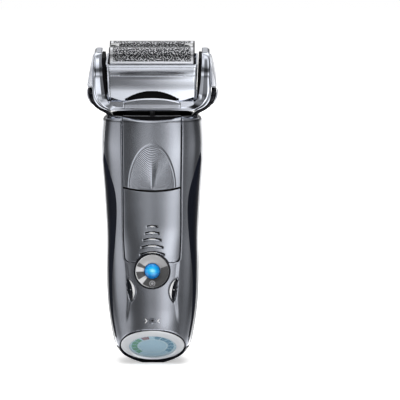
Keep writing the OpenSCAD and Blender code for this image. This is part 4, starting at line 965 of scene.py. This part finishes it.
def deckPlate(a):
    # rings of the skin, held flat at the front and the back, and closed on the axis below and above
    rings = []
    for z, d in yoke["deck"]:
        ring = skinRing(body["top"], a, d)
        ring[:, 1] = np.clip(ring[:, 1], *yoke["deckDepth"])
        ring[:, 2] = z
        rings.append(ring)
    low, high = (0 * rings[0] + [0, 0, yoke["deck"][k][0]] for k in (0, -1))
    return skin([low] + rings + [high])


def yokeArm(side):
    # a rounded rectangle carried along the arm's path, square to it, with a thickness that changes on the way
    loop = roundedLoop(1.0, yoke["halfD"], yoke["corner"])
    path = curveThrough(yoke["path"], 30)
    step = np.gradient(path, axis=0)
    normal = np.stack([step[:, 1], -step[:, 0]], -1)
    normal /= np.linalg.norm(normal, axis=1, keepdims=True)
    thick = straightLine(yoke["thick"], np.linspace(0, 1, len(path)))
    flat = path[:, None, :] + normal[:, None, :] * (loop[None, :, 0] * thick[:, None])[..., None]
    return tube(np.stack([side * flat[..., 0], 0 * flat[..., 0] + loop[None, :, 1], flat[..., 1]], -1))


def buildNeck():
    # black collar over the shells' upper rim: the neck's own black, and painted shade along the rim
    a = roundTrip(120, -180)
    collar = [skinRing(body["top"], a, d, up) for d, up in yoke["collar"]]
    piece("neckCollar", skin(collar, closed=True), "body", [], blackAndPaintedShade, sharp=50)
    # the yoke: a deck plate in the shells' upper edge; on each side an arm, and a disc round the button
    d = yoke["disc"]
    seat = [[2.1, 0.03], [d - 0.5, 0.03], [d - 0.15, 0.2], [d, 0.6], [d, 1.7], [d - 0.2, 2.2],
            [d - 0.6, 2.42], [4.42, 2.35], [4.38, 1.0], [2.1, 1.0]]
    parts = [deckPlate(a)]
    for side in (-1, 1):
        parts += [yokeArm(side), skin(armDisc(seat, side), closed=True)]
    piece("neckYoke", joined(parts), "body", ["neck_yoke"], blackGloss, sharp=35)
    for side, name in ((-1, "left"), (1, "right")):
        piece("releaseButton" + name.title(), skin(armDisc(yoke["button"], side)), "release_" + name,
              ["release_button_" + name], coverSilver, sharp=40)


headForm = dict(
    outer=[[28.0, 23.9], [28.8, 22.6], [29.0, 20], [29.1, 14], [29.4, 8], [29.4, 4], [28.8, 0.8], [26.9, -2],
           [24, -3.7], [20.5, -4.12], [10, -4.12], [0, -4.12]],
    inner=[[24.9, 23.8], [24.6, 22.2], [24.5, 18.5], [23.9, 12], [23.2, 7], [22.6, 3.5], [22, 1],
           [20.6, -0.9], [18.5, -1.9], [16, -2.2], [9, -2.3], [0, -2.3]],
    outerRoll=1.2, bead=0.35, turns=[[0.3, 0.23], [0.66, 0.26]], barFrom=0.45, barLean=0.26, barTop=10,
    armFrom=(1.0, 5.0), armTo=(22.5, 24.5), elbow=(-2.5, 9), elbowOut=(20, 25), elbowMore=2.2, barLess=0.3,
    endSize=(0.82, 0.985, 1), endRise=0.22, floorCorner=2.0, cheekZ=(2.2, 21.6), cheekTop=24.2,
    cheekPlay=0.45, cheekBack=1.0, cheekTurn=0.36, coverHalf=9.0, coverTop=22.1, coverRoll=2.0,
    coverCorner=0.8,
    floor=((-3.7, 22.5, 11.3), (-3.9, 23.2, 11.9), (0.6, 22.2, 11.6), (1.0, 21.6, 11.2), (1.0, 20.4, 10.0)),
    cheek=[[1, 22.25], [3.5, 22.85], [7, 23.45], [12, 24.15], [18.5, 24.75], [22.5, 25.05]],
    cover=[[32.1, 6.6], [32.2, 9.0], [31.5, 12.5], [30.7, 16.4], [29.7, 20.2], [29.0, 21.4]],
    coverFoot=[[6, 29.35], [10, 29.3], [15, 29.05], [20, 28.75], [22, 28.5]],
)
lip = dict(half=14.3, low=-2.6, ends=0.3, rise=2.0, inner=-11.7, lean=0.14, leanFrom=(-2.4, -1), topRoll=0.85,
           topShare=0.9, endRoll=0.6, endShare=0.5)


def frontOf(zl, half, top):
    # how far a front stands before the tilt axis at height zl: upright, then an ellipse up to the top
    share = np.maximum(zl - head["squareTo"], 0) / (top - head["squareTo"])
    return half * np.sqrt(np.maximum(1 - share**2, 0.004))


def mirrored(line):
    return np.concatenate([line, (line * [-1, 1])[-2::-1]])[:, None, :]


def lipTop(x):
    return lip["ends"] + lip["rise"] * (1 - np.clip(x / lip["half"], -1, 1) ** 2)


def buildHeadFrame():
    # a U of two arms and a bar: one profile across, carried along the outer and inner lines
    h = headForm
    outer, inner = mirrored(curveThrough(h["outer"], 110)), mirrored(curveThrough(h["inner"], 110))
    x, zl = outer[..., 0], outer[..., 1]
    w = np.linalg.norm(outer - inner, axis=-1)
    s = spread([0, 0.1, 0.27, 0.33, 0.45, 0.63, 0.69, 0.92, 1], [7, 7, 5, 5, 6, 5, 6, 6])[None, :]
    e = s * w
    # each arm's face turns inwards in two steps, the bar's face leans back in its upper half
    arm = ramp(zl, *h["armFrom"]) * (1 - ramp(zl, *h["armTo"]))
    dip = sum(slope * np.maximum(e - at * w, 0) for at, slope in h["turns"]) * arm
    dip = dip + h["barLean"] * np.maximum(e - h["barFrom"] * w, 0) * (1 - arm) * (zl < h["barTop"])
    away = ramp(np.abs(x), *h["elbowOut"])
    edge = h["outerRoll"] + (1 - ramp(zl, *h["elbow"])) * (h["elbowMore"] * away - h["barLess"] * (1 - away))
    drop = roll(e, np.minimum(edge, 0.6 * w)) + roll(w - e, h["bead"] * (0.4 + 0.6 * arm)) + dip
    flat = outer + (inner - outer) * s[..., None]
    reach = frontOf(flat[..., 1], head["halfD"], head["top"]) - drop
    front = np.stack([flat[..., 0], -reach, flat[..., 1]], -1)
    back = front[:, ::-1] * [1, -1, 1]
    k = np.linspace(0, 1, 7)[1:-1][None, :, None]
    innerWall = front[:, -1:] + (back[:, :1] - front[:, -1:]) * k
    outerWall = back[:, -1:] + (front[:, :1] - back[:, -1:]) * k
    ring = np.concatenate([front, innerWall, back, outerWall], 1)
    # rounded ends of the arms
    mid = ring[[0, -1]].mean(axis=1, keepdims=True)
    soft = mid + (ring[[0, -1]] - mid) * np.array(h["endSize"]) + [0, 0, h["endRise"]]
    piece("headFrame", tube(np.concatenate([soft[:1], ring, soft[1:]])), "head",
          ["head_frame"], chrome, sharp=34, into=onHead)
    # the floor between the arms, set back behind the lip
    slab = [level(roundedLoop(w0, d0, h["floorCorner"]), z0) for z0, w0, d0 in h["floor"]]
    piece("headFloor", tube(slab), "head", [], satinChrome, into=onHead)
    buildShadeWedges()
    buildLip()
    buildCovers()


def buildShadeWedges():
    # painted shade: dark wedges inside the arms, beside the cassette
    h = headForm
    for side, name in ((-1, "Left"), (1, "Right")):
        rows = []
        for zl in np.linspace(*h["cheekZ"], 26):
            x0 = float(cassetteHalf(zl)) + h["cheekPlay"]
            x1 = float(straightLine(h["cheek"], zl))
            half = float(frontOf(zl, head["halfD"], h["cheekTop"])) - h["cheekBack"]
            inward = h["cheekTurn"] * (x1 - x0)
            loop = np.array([[x0, inward - half], [x1, -half], [x1, half], [x0, half - inward]])
            rows.append(level(loop * [side, 1], zl))
        piece("headShadeWedge" + name, tube(rows), "head", [], blackAndPaintedShade, sharp=40, into=onHead)


def buildLip():
    # the lip on the front, under the cassette's lens: an arc above, leaning back more in its upper part
    x = np.linspace(-lip["half"], lip["half"], 81)[None, :]
    v = spread([0, 0.08, 0.75, 1], [4, 10, 12])[:, None]
    top = lipTop(x)
    zl = lip["low"] + (top - lip["low"]) * v
    y = -head["halfD"] + lip["lean"] * sum(np.maximum(zl - z0, 0) for z0 in lip["leanFrom"])
    y = y + lip["topShare"] * roll(top - zl, lip["topRoll"])
    y = y + lip["endShare"] * roll(lip["half"] - np.abs(x), lip["endRoll"])
    face = np.stack([x + 0 * zl, y, zl], -1)
    rearFace = np.stack([x + 0 * zl, lip["inner"] + 0 * y, zl], -1)
    piece("headLip", between(face, rearFace), "head", [], satinChrome, sharp=40, into=onHead)


def buildCovers():
    # light side cover: a rounded pad on the frame's outer wall, drawn in at both ends
    h = headForm
    prof = curveThrough(h["cover"], 40)
    foot = straightLine(h["coverFoot"], prof[:, 1])
    for side, name in ((-1, "Left"), (1, "Right")):
        rings = []
        for j, (x, zl) in enumerate(prof):
            e = min(j, len(prof) - 1 - j)
            half = float(frontOf(zl, h["coverHalf"], h["coverTop"])) - float(roll(e * 0.38, h["coverRoll"]))
            t = (x - foot[j]) / 2
            loop = roundedLoop(max(t, 0.1), half, min(h["coverCorner"], max(t, 0.1) * 0.9), 7)
            rings.append(level((loop + [foot[j] + t, 0]) * [side, 1], zl))
        piece("sideCover" + name, tube(rings), "head", ["side_cover_" + name.lower()],
              coverSilver, sharp=40, into=onHead)


cassette = dict(
    halfW=21.9, flare=0.9, halfD=12.5, top=19.5, corner=1.3, footEnds=3.0, footRise=1.7, innerX=0.965,
    innerY=0.9, rimFrom=18, rimWall=0.42, lensW=13.0, lensFoot=1.3, lensEnds=2.1, lensRise=4.1,
    lensFloor=-10.7, lensFace=-10.95, behindLip=-11.5,
    lean=[[0, 0], [2.6, 0], [6.6, 0.0], [8, 0.05], [9.4, 0.15], [11.5, 0.4], [13.6, 0.75], [15.4, 1.02],
          [16.4, 1.1], [19.5, 1.1]],
    seam=0.14, seamFrom=(13.5, 13.65), seamTo=(13.8, 14.0), hollow=0.45, hollowHalf=20.5,
    hollowAt=(13.95, 16.3), upper=0.14, upperAt=(11.5, 13.9), crown=0.5, crownHalf=22, flange=0.8,
    flangeAt=(17.7, 18.15), edgeRoll=0.35,
)


def cassetteHalf(zl):
    # half-width of the cassette, which widens upwards
    return cassette["halfW"] + cassette["flare"] * (zl - 1) / (cassette["top"] - 1)


def cassetteFoot(x):
    return cassette["footEnds"] - cassette["footRise"] * ramp(np.abs(x), 21.5, 14.3)


def lensTop(x):
    return cassette["lensEnds"] + cassette["lensRise"] * (1 - (x / cassette["lensW"]) ** 2)


def cassetteFront(x, zl):
    # how deep the cassette's face lies behind its front plane: it leans back more and more towards the
    # top, with a fine seam, a crescent hollow above it and a rolled upper edge
    c = cassette
    seam = c["seam"] * ramp(zl, *c["seamFrom"]) * (1 - ramp(zl, *c["seamTo"]))
    share = np.maximum(1 - (x / c["hollowHalf"]) ** 2, 0)
    hollow = share * (c["hollow"] * ramp(zl, *c["hollowAt"]) + c["upper"] * ramp(zl, *c["upperAt"]))
    crown = c["crown"] * (np.clip(np.abs(x), 0, c["crownHalf"]) / c["crownHalf"]) ** 2
    flange = ramp(zl, *c["flangeAt"])
    face = smoothLine(c["lean"], zl) + seam + hollow + crown
    return face * (1 - flange) + c["flange"] * flange + 0.6 * roll(c["top"] - zl, c["edgeRoll"])


def cassetteRing():
    # the outer wall as a grid: columns run front, right, back, left with round corners, rows run upwards
    c = cassette
    v = spread([0, 0.03, 0.6, 0.88, 0.93, 0.975, 1], [4, 40, 40, 14, 4, 6])[:, None]
    r = c["corner"]

    def column(x0):
        # height, half-width and half-depth inside the corners, where the face is at x0
        zl = cassetteFoot(x0) + (c["top"] - cassetteFoot(x0)) * v
        return zl, cassetteHalf(zl) - r, c["halfD"] - cassetteFront(x0, zl) - r

    def face(sy):
        u = -sy * spread([-1, -0.6, 0.6, 1], [16, 96, 16])[None, :]
        zl, k, d = column(u * (c["halfW"] - r))
        return np.stack([u * k, sy * (d + r), zl], -1)

    def flank(sx):
        u = np.linspace(-1, 1, 9)[None, :]
        zl, k, d = column(c["halfW"] + 0 * u)
        return np.stack([sx * (k + r) + 0 * u, sx * u * d, zl], -1)

    def corner(sx, sy):
        a = np.radians(np.linspace(0, 90, 7)[1:-1])[None, :]
        a = a[:, ::-1] if sx * sy < 0 else a
        zl, k, d = column(c["halfW"] + 0 * a)
        return np.stack([sx * (k + r * np.cos(a)), sy * (d + r * np.sin(a)), zl], -1)

    return np.concatenate([face(-1), corner(1, -1), flank(1), corner(1, 1),
                           face(1), corner(-1, 1), flank(-1), corner(-1, -1)], 1)


def buildCassette():
    c = cassette
    ring = cassetteRing()
    x, y, zl = ring[..., 0].copy(), ring[..., 1].copy(), ring[..., 2]
    # the front is pushed in behind the dark lens of painted shade, and kept behind the head's lip
    inLens = (y < -8) & (np.abs(x) < c["lensW"]) & (zl < lensTop(x))
    y = np.where(inLens, c["lensFloor"], y)
    atLip = (y < -8) & (np.abs(x) < lip["half"] + 0.3) & (zl < lipTop(x) + 0.25)
    y = np.where(atLip, np.maximum(y, c["behindLip"]), y)
    # the inner wall is the outer one drawn in, and an even wall near the rim
    rim = np.sign(y) * np.maximum(np.abs(y) - c["rimWall"], 0) * np.where(np.abs(y) > 9, 1, c["innerY"])
    innerY = np.where(zl > c["rimFrom"], rim, y * c["innerY"])
    outer = np.stack([x, y, zl], -1)
    inner = np.stack([x * c["innerX"], innerY, zl], -1)
    piece("cassette", skin(np.concatenate([outer, inner[::-1]]), closed=True), "cassette",
          ["cassette_frame"], satinChrome, sharp=26, into=onHead)
    # painted shade: a dark insert in the lens, bulged a little
    x = np.linspace(-c["lensW"], c["lensW"], 61)[None, :]
    t = np.linspace(0, 1, 13)[:, None]
    zl = c["lensFoot"] + (lensTop(x) - c["lensFoot"]) * t
    piece("cassetteLensShade", sheet(x, c["lensFace"] - 0.35 * np.sin(np.pi * t), zl, 0.4), "cassette",
          [], blackAndPaintedShade, sharp=60, into=onHead)


foil = dict(
    r=4.6, y=6.4, z=22.4, halfL=20.7, thick=0.12, skirt=(1.5, 0.1), foot=19.72, holderTop=22.3,
    holderWall=0.9, holderEnd=0.6, corner=0.25, play=0.02,
    holder=[(19.72, -0.25), (19.85, 0.02), (20.2, 0.14), (20.7, 0.16), (20.95, 0.06), (21.05, -0.16),
            (22.3, -0.16)],
    ends=((20.3, 0.98), (20.65, 1.0), (21.05, 1.0), (21.2, 0.97), (21.25, 0.9)), endFoot=19.8, endMid=22.2,
    rivet=[[0, 0.12], [0.3, 0.1], [0.5, 0.0], [0.5, -0.4], [0, -0.4]], rivetX=19.9, rivetAngle=48,
    meshScale=1.28, meshTurn=45, mixed=0.75, hole=(0.40, 0.62), margin=(19.2, 19.4),
)


def foilMesh():
    # etched foil: holes round scattered points of the unrolled foil, dark where open, closed at both ends
    mat, net, shader = tree("foilMesh", Metallic=1.0, Roughness=0.3)[:3]
    flat = node(net, "UVMap", uv_map="UVMap")
    scale = (foil["meshScale"], foil["meshScale"], 1)
    skew = node(net, "Mapping", {"Vector": flat},
                {"Rotation": (0, 0, math.radians(foil["meshTurn"])), "Scale": scale})
    cells = node(net, "TexVoronoi", voronoi_dimensions="2D", feature="F1")
    cells.inputs["Scale"].default_value = 1.0
    cells.inputs["Randomness"].default_value = foil["mixed"]
    wire(net, skew, cells.inputs["Vector"])
    hole = span(net, cells.outputs["Distance"], *foil["hole"])
    split = node(net, "SeparateXYZ", {"Vector": flat})
    ends = node(net, "Math", {0: split.outputs["X"]}, operation="ABSOLUTE")
    solid = combine(net, "Math", "MAXIMUM", hole, span(net, ends, *foil["margin"]))
    tones = node(net, "Mix", {"Factor": solid}, {"A": (0.03, 0.03, 0.034, 1), "B": (0.66, 0.67, 0.70, 1)},
                 data_type="RGBA")
    wire(net, tones.outputs["Result"], shader.inputs["Base Color"])
    relief(net, solid, shader, 0.5, 0.05)
    return mat


def buildFoils():
    mesh = foilMesh()
    for side, name in ((-1, "front"), (1, "rear")):
        yc = side * foil["y"]
        buildFoil(name, yc, mesh)
        buildHolder(name, yc)
        for sx, label in ((-1, "Left"), (1, "Right")):
            buildFoilEnd(name, label, yc, sx)
            buildRivet(name, label, yc, side, sx)


def buildFoil(name, yc, mesh):
    # half a turn round the foil's axis, running on downwards as a straight skirt on both sides
    x = np.linspace(-foil["halfL"], foil["halfL"], 43)[None, :]
    turn = np.radians(np.concatenate([np.full(5, -90), np.linspace(-90, 90, 49), np.full(5, 90)]))[:, None]
    skirt = np.linspace(*foil["skirt"], 5)
    drop = np.concatenate([skirt, np.zeros(49), skirt[::-1]])[:, None]
    faces = [np.stack(np.broadcast_arrays(x, yc + r * np.sin(turn), foil["z"] - drop + r * np.cos(turn)), -1)
             for r in (foil["r"], foil["r"] - foil["thick"])]
    along = turn * foil["r"] + drop * np.sign(turn)
    uv = np.stack(np.broadcast_arrays(x, along), -1).reshape(-1, 2)
    piece("foil" + name.title(), between(*faces), "foil_unit_" + name, ["foil_" + name], mesh,
          sharp=40, uv=np.concatenate([uv, uv]), into=onHead)


def buildHolder(name, yc):
    # light band under the foil, with a rolled upper edge and a line, hollow inside
    half, r = foil["halfL"], foil["r"]
    corner = foil["corner"]
    rings = [level(roundedLoop(half - foil["play"], r + out, corner, 4), zl, y=yc)
             for zl, out in foil["holder"]]
    hollow = [level(roundedLoop(half - foil["holderEnd"], r - foil["holderWall"], corner, 4), zl, y=yc)
              for zl in (foil["holderTop"], foil["foot"])]
    piece("foilHolder" + name.title(), skin(rings + hollow, closed=True), "foil_unit_" + name,
          ["foil_holder_" + name], holderSilver, sharp=40, into=onHead)


def buildFoilEnd(name, label, yc, sx):
    # black end cap with the foil's arch, rounded outwards
    r = foil["r"] + foil["play"]
    th = np.radians(np.linspace(0, 180, 33))
    arc = np.stack([yc + r * np.cos(th), foil["z"] + r * np.sin(th)], -1)
    loop = np.concatenate([arc, [[yc - r, foil["endFoot"]], [yc + r, foil["endFoot"]]]])
    mid = np.array([yc, foil["endMid"]])
    rows = []
    for x, k in foil["ends"]:
        q = mid + (loop - mid) * k
        rows.append(np.stack([np.full(len(q), sx * x), q[:, 0], q[:, 1]], -1))
    piece("foilEnd" + name.title() + label, tube(rows), "foil_unit_" + name, [],
          blackPlastic, sharp=40, into=onHead)


def buildRivet(name, label, yc, side, sx):
    # a small turned head that stands square on the foil's outer slope
    a = math.radians(foil["rivetAngle"])
    tilt = np.array(Matrix.Rotation(-math.pi / 2 - side * a, 3, "X"))
    at = [sx * foil["rivetX"], yc + side * foil["r"] * math.sin(a), foil["z"] + foil["r"] * math.cos(a)]
    points, faces = skin(turned(foil["rivet"], segments=24))
    piece("foilRivet" + name.title() + label, (points @ tilt.T + at, faces), "foil_unit_" + name,
          [], plainSteel, into=onHead)


comb = dict(
    pitch=1.7, half=16.0, low=19.9, wallTop=25.2, root=25.75, tooth=1.6, step=0.12, y=(1.5, 1.5, 1.42, 1.3),
    thick=(0.45, 0.45, 0.38, 0.2), postX=18.35, postSize=(2.3, 1.5, 0.4),
    post=((19.9, 1.0), (26.9, 1.0), (27.2, 0.93), (27.3, 0.8)),
)


def buildComb():
    # middle trimmer: a folded steel strip whose upper edges are cut into teeth, between two posts
    x = np.arange(-comb["half"], comb["half"] + comb["pitch"] / 4, comb["pitch"] / 4)
    saw = np.abs(((x / comb["pitch"]) % 1) - 0.5) * 2
    top = comb["root"] + comb["tooth"] * (1 - saw)
    z = np.array([comb["low"] + 0 * x, comb["wallTop"] + 0 * x, top - comb["step"], top])
    y = np.array(comb["y"])[:, None]
    thick = np.array(comb["thick"])[:, None]
    parts = [sheet(x[None, :], sy * y, z, -sy * thick) for sy in (-1, 1)]
    a, b, r = comb["postSize"]
    for sx in (-1, 1):
        parts.append(tube([level(roundedLoop(a * k, b * k, r * k, 4), zl, sx * comb["postX"])
                           for zl, k in comb["post"]]))
    piece("middleComb", joined(parts), "comb_unit", ["middle_comb"], brightSteel, sharp=30,
          into=onHead)


switch = dict(z=112.1, halfW=6.0, halfH=5.5, corner=2.0,
              rings=((17.05, 1.0), (17.7, 0.985), (18.2, 0.95), (18.5, 0.9)), ridges=5, ridgeFrom=108.6,
              ridgePitch=1.75, ridgeHalf=4.4, ridgeY=18.6, ridge=(0.42, 0.55, 0.3))


def buildTrimmer():
    # the back trimmer's switch: a pad with ridges across, each drawn in towards its ends
    s = switch
    pad = []
    for y, k in s["rings"]:
        loop = roundedLoop(s["halfW"] * k, s["halfH"] * k, s["corner"] * k, 9)
        pad.append(np.stack([loop[:, 0], np.full(len(loop), y), s["z"] + loop[:, 1]], -1))
    parts = [tube(pad)]
    loop = roundedLoop(*s["ridge"], 4)[None, :, :]
    x = np.linspace(-s["ridgeHalf"], s["ridgeHalf"], 15)[:, None]
    edge = 1 - 0.6 * np.abs(x / s["ridgeHalf"]) ** 8
    for i in range(s["ridges"]):
        z0 = s["ridgeFrom"] + s["ridgePitch"] * i
        parts.append(tube(np.stack([x + 0 * loop[..., 0], s["ridgeY"] + loop[..., 0] * edge,
                                    z0 + loop[..., 1] * edge], -1)))
    piece("trimmerSwitch", joined(parts), "long_trimmer", ["trimmer_switch"], gripRubber,
          sharp=40)


for build in (buildFrontShell, buildSides, buildBackShell, buildBase, buildDisplay):
    build()
print("shells ready")
for build in (buildShadeAndGlints, buildThumbPanel, buildLowerPanel, buildDial, buildSideButtons, buildReset):
    build()
print("controls ready")
for build in (buildNeck, buildHeadFrame, buildCassette, buildFoils, buildComb, buildTrimmer):
    build()
print("head ready")

# finishes of the solids that stay
kept = dict(
    chassis=innerPlastic, battery=cellBlue, circuit_board=boardGreen, tact_switches=innerPlastic,
    housing_screws=plainSteel, power_socket=blackPlastic, socket_pins=brightSteel,
    charging_contacts=plainSteel, motor_core=ironCore, motor_coil=copperWire, mover_front=ironCore,
    mover_rear=ironCore, leaf_springs=plainSteel, pin_seal=blackAndPaintedShade, pivot_pin_left=plainSteel,
    pivot_pin_right=plainSteel, cutter_front=plainSteel, cutter_rear=plainSteel, carrier_front=whitePlastic,
    carrier_rear=whitePlastic, middle_blade=blackAndPaintedShade, trimmer_carriage=blackPlastic,
    trimmer_comb=brightSteel, trimmer_blade=plainSteel,
)
for name, mat in kept.items():
    solid = bpy.data.objects[name].data
    solid.materials.clear()
    solid.materials.append(mat)
print("finishes on the solids ready")

# floor, light and camera, in metres; the ramps' stops are (degrees, tone)
studio = dict(
    radius=1.6, centre=0.09, strength=1.35, floorHalf=3, floorGlow=0.5, floorNear=0.05, floorFar=0.4,
    azimuth=[(-180, 0.95), (-140, 0.95), (-115, 0.1), (-92, 0.06), (-84, 0.3), (-72, 0.85), (-38, 0.85),
             (-29, 0.25), (-20, 0.1), (-6, 0.1), (-2, 0.2), (1, 0.5), (5, 1.4), (14, 1.6), (21, 1.0),
             (30, 0.25), (44, 0.16), (56, 0.38), (74, 0.42), (84, 0.1), (115, 0.12), (140, 0.95),
             (180, 0.95)],
    even=[(-180, 1.0), (-135, 0.9), (-90, 0.3), (-62, 0.6), (-52, 0.9), (-42, 0.7), (-34, 0.14), (-18, 0.14),
          (-10, 0.8), (-4, 0.8), (0, 0.62), (5, 1.0), (30, 1.0), (40, 0.2), (60, 0.16), (100, 0.3),
          (135, 0.9), (180, 1.0)],
    elevation=[(-90, 0.06), (-62, 0.06), (-52, 0.3), (-42, 0.9), (-29, 1.45), (-24, 1.25), (-20, 0.6),
               (-16, 0.35), (-12, 0.35), (-8, 0.85), (-4, 0.9), (-1, 0.8), (4, 0.45), (9, 0.12), (21, 0.12),
               (28, 0.55), (40, 0.85), (48, 1.0), (66, 1.15), (90, 0.9)],
    evening=[(-90, 0.9), (-30, 0.85), (-20, 0.6), (-14, 0.2), (-9, 0.0), (25, 0.0), (40, 0.6), (60, 0.9),
             (90, 0.9)],
)
lamp = dict(at=(0.05, -0.25, 0.9), towards=(0, 0, 0.1), size=(0.7, 0.5), power=6)
view = dict(aim=(0.0239, 0, 0.0828), distance=1.2, field=0.202, sensor=36, rise=8)
scene = bpy.context.scene


def linked(name, data):
    obj = bpy.data.objects.new(name, data)
    scene.collection.objects.link(obj)
    return obj


def stagePiece(name, points, faces, mat):
    mesh = bpy.data.meshes.new(name)
    mesh.from_pydata(points, [], faces)
    mesh.materials.append(mat)
    obj = linked(name, mesh)
    return obj


def cameraSees(net):
    # 1 for rays from the camera and through glass, 0 for the others
    rays = node(net, "LightPath").outputs
    return combine(net, "Math", "MAXIMUM", rays["Is Camera Ray"], rays["Is Transmission Ray"])


def floorWhite():
    # white floor: light that falls on it plus its own glow, which grows to pure white away from the object
    mat, net, shader, where = tree("floorWhite", Base_Color=(0.97, 0.97, 0.97, 1), Roughness=0.8,
                                   Specular_IOR_Level=0.0)
    far = node(net, "VectorMath", {0: where}, operation="LENGTH").outputs["Value"]
    own = span(net, far, studio["floorNear"], studio["floorFar"], studio["floorGlow"], 1.0)
    glow = node(net, "Emission", {"Strength": combine(net, "Math", "MULTIPLY", own, cameraSees(net))})
    both = node(net, "AddShader", {0: shader, 1: glow})
    wire(net, both, next(n for n in net.nodes if n.type == "OUTPUT_MATERIAL").inputs["Surface"])
    return mat


def studioLight():
    # the room round the object, which lights it and shows in its gloss: tone by compass angle, evened out
    # above and below, times tone by height
    mat, net, shader, where = tree("studioDome")
    net.nodes.remove(shader)
    away = combine(net, "VectorMath", "SUBTRACT", where, (0, 0, studio["centre"]))
    split = node(net, "SeparateXYZ", {"Vector": node(net, "VectorMath", {0: away}, operation="NORMALIZE")})
    front = combine(net, "Math", "MULTIPLY", split.outputs["Y"], -1)
    turn = combine(net, "Math", "ARCTAN2", split.outputs["X"], front)
    lift = node(net, "Math", {0: split.outputs["Z"]}, operation="ARCSINE")
    tones = {"Factor": toneRamp(net, lift, studio["evening"], 90),
             "A": toneRamp(net, turn, studio["azimuth"], 180), "B": toneRamp(net, turn, studio["even"], 180)}
    mixed = node(net, "Mix", tones, data_type="RGBA").outputs["Result"]
    both = combine(net, "VectorMath", "MULTIPLY", mixed, toneRamp(net, lift, studio["elevation"], 90))
    glow = node(net, "Emission", {"Color": both}, {"Strength": studio["strength"]})
    wire(net, glow, next(n for n in net.nodes if n.type == "OUTPUT_MATERIAL").inputs["Surface"])
    return mat


def buildFloor():
    h = studio["floorHalf"]
    floor = stagePiece("floor", [(-h, -h, 0), (h, -h, 0), (h, h, 0), (-h, h, 0)], [(0, 1, 2, 3)],
                       floorWhite())
    floor.visible_glossy = False


def buildWorld():
    world = bpy.data.worlds.new("studioWorld")
    scene.world = world
    world.use_nodes = True
    back = next(n for n in world.node_tree.nodes if n.type == "BACKGROUND")
    back.inputs["Color"].default_value = (1, 1, 1, 1)
    wire(world.node_tree, cameraSees(world.node_tree), back.inputs["Strength"])


def buildStudio():
    # a ball round the object, seen from inside: a runs round, e from below to above
    a = np.radians(np.linspace(-180, 180, 97))[None, :]
    e = np.radians(np.linspace(-89.5, 89.5, 61))[:, None]
    r = studio["radius"]
    ball = np.stack([r * np.cos(e) * np.sin(a), -r * np.cos(e) * np.cos(a),
                     studio["centre"] + r * np.sin(e) + 0 * a], -1)
    room = stagePiece("studioDome", ball.reshape(-1, 3).tolist(), gridFaces(61, 97).tolist(), studioLight())
    room.visible_camera = False
    room.visible_shadow = False
    room.visible_transmission = False


def aimed(name, data, at, towards):
    obj = linked(name, data)
    obj.location = at
    obj.rotation_euler = (Vector(towards) - Vector(at)).to_track_quat("-Z", "Y").to_euler()
    return obj


def buildLamp():
    data = bpy.data.lights.new("topLight", "AREA")
    data.shape = "RECTANGLE"
    data.size, data.size_y = lamp["size"]
    data.energy = lamp["power"]
    aimed("topLight", data, lamp["at"], lamp["towards"]).visible_glossy = False


def buildCamera():
    data = bpy.data.cameras.new("camera")
    data.sensor_width = view["sensor"]
    data.lens = view["sensor"] * view["distance"] / view["field"]
    rise = math.radians(view["rise"])
    at = Vector(view["aim"]) + view["distance"] * Vector((0, -math.cos(rise), math.sin(rise)))
    scene.camera = aimed("camera", data, at, view["aim"])


for build in (buildFloor, buildWorld, buildStudio, buildLamp, buildCamera):
    build()
scene.view_settings.view_transform = "Standard"
print("studio ready")
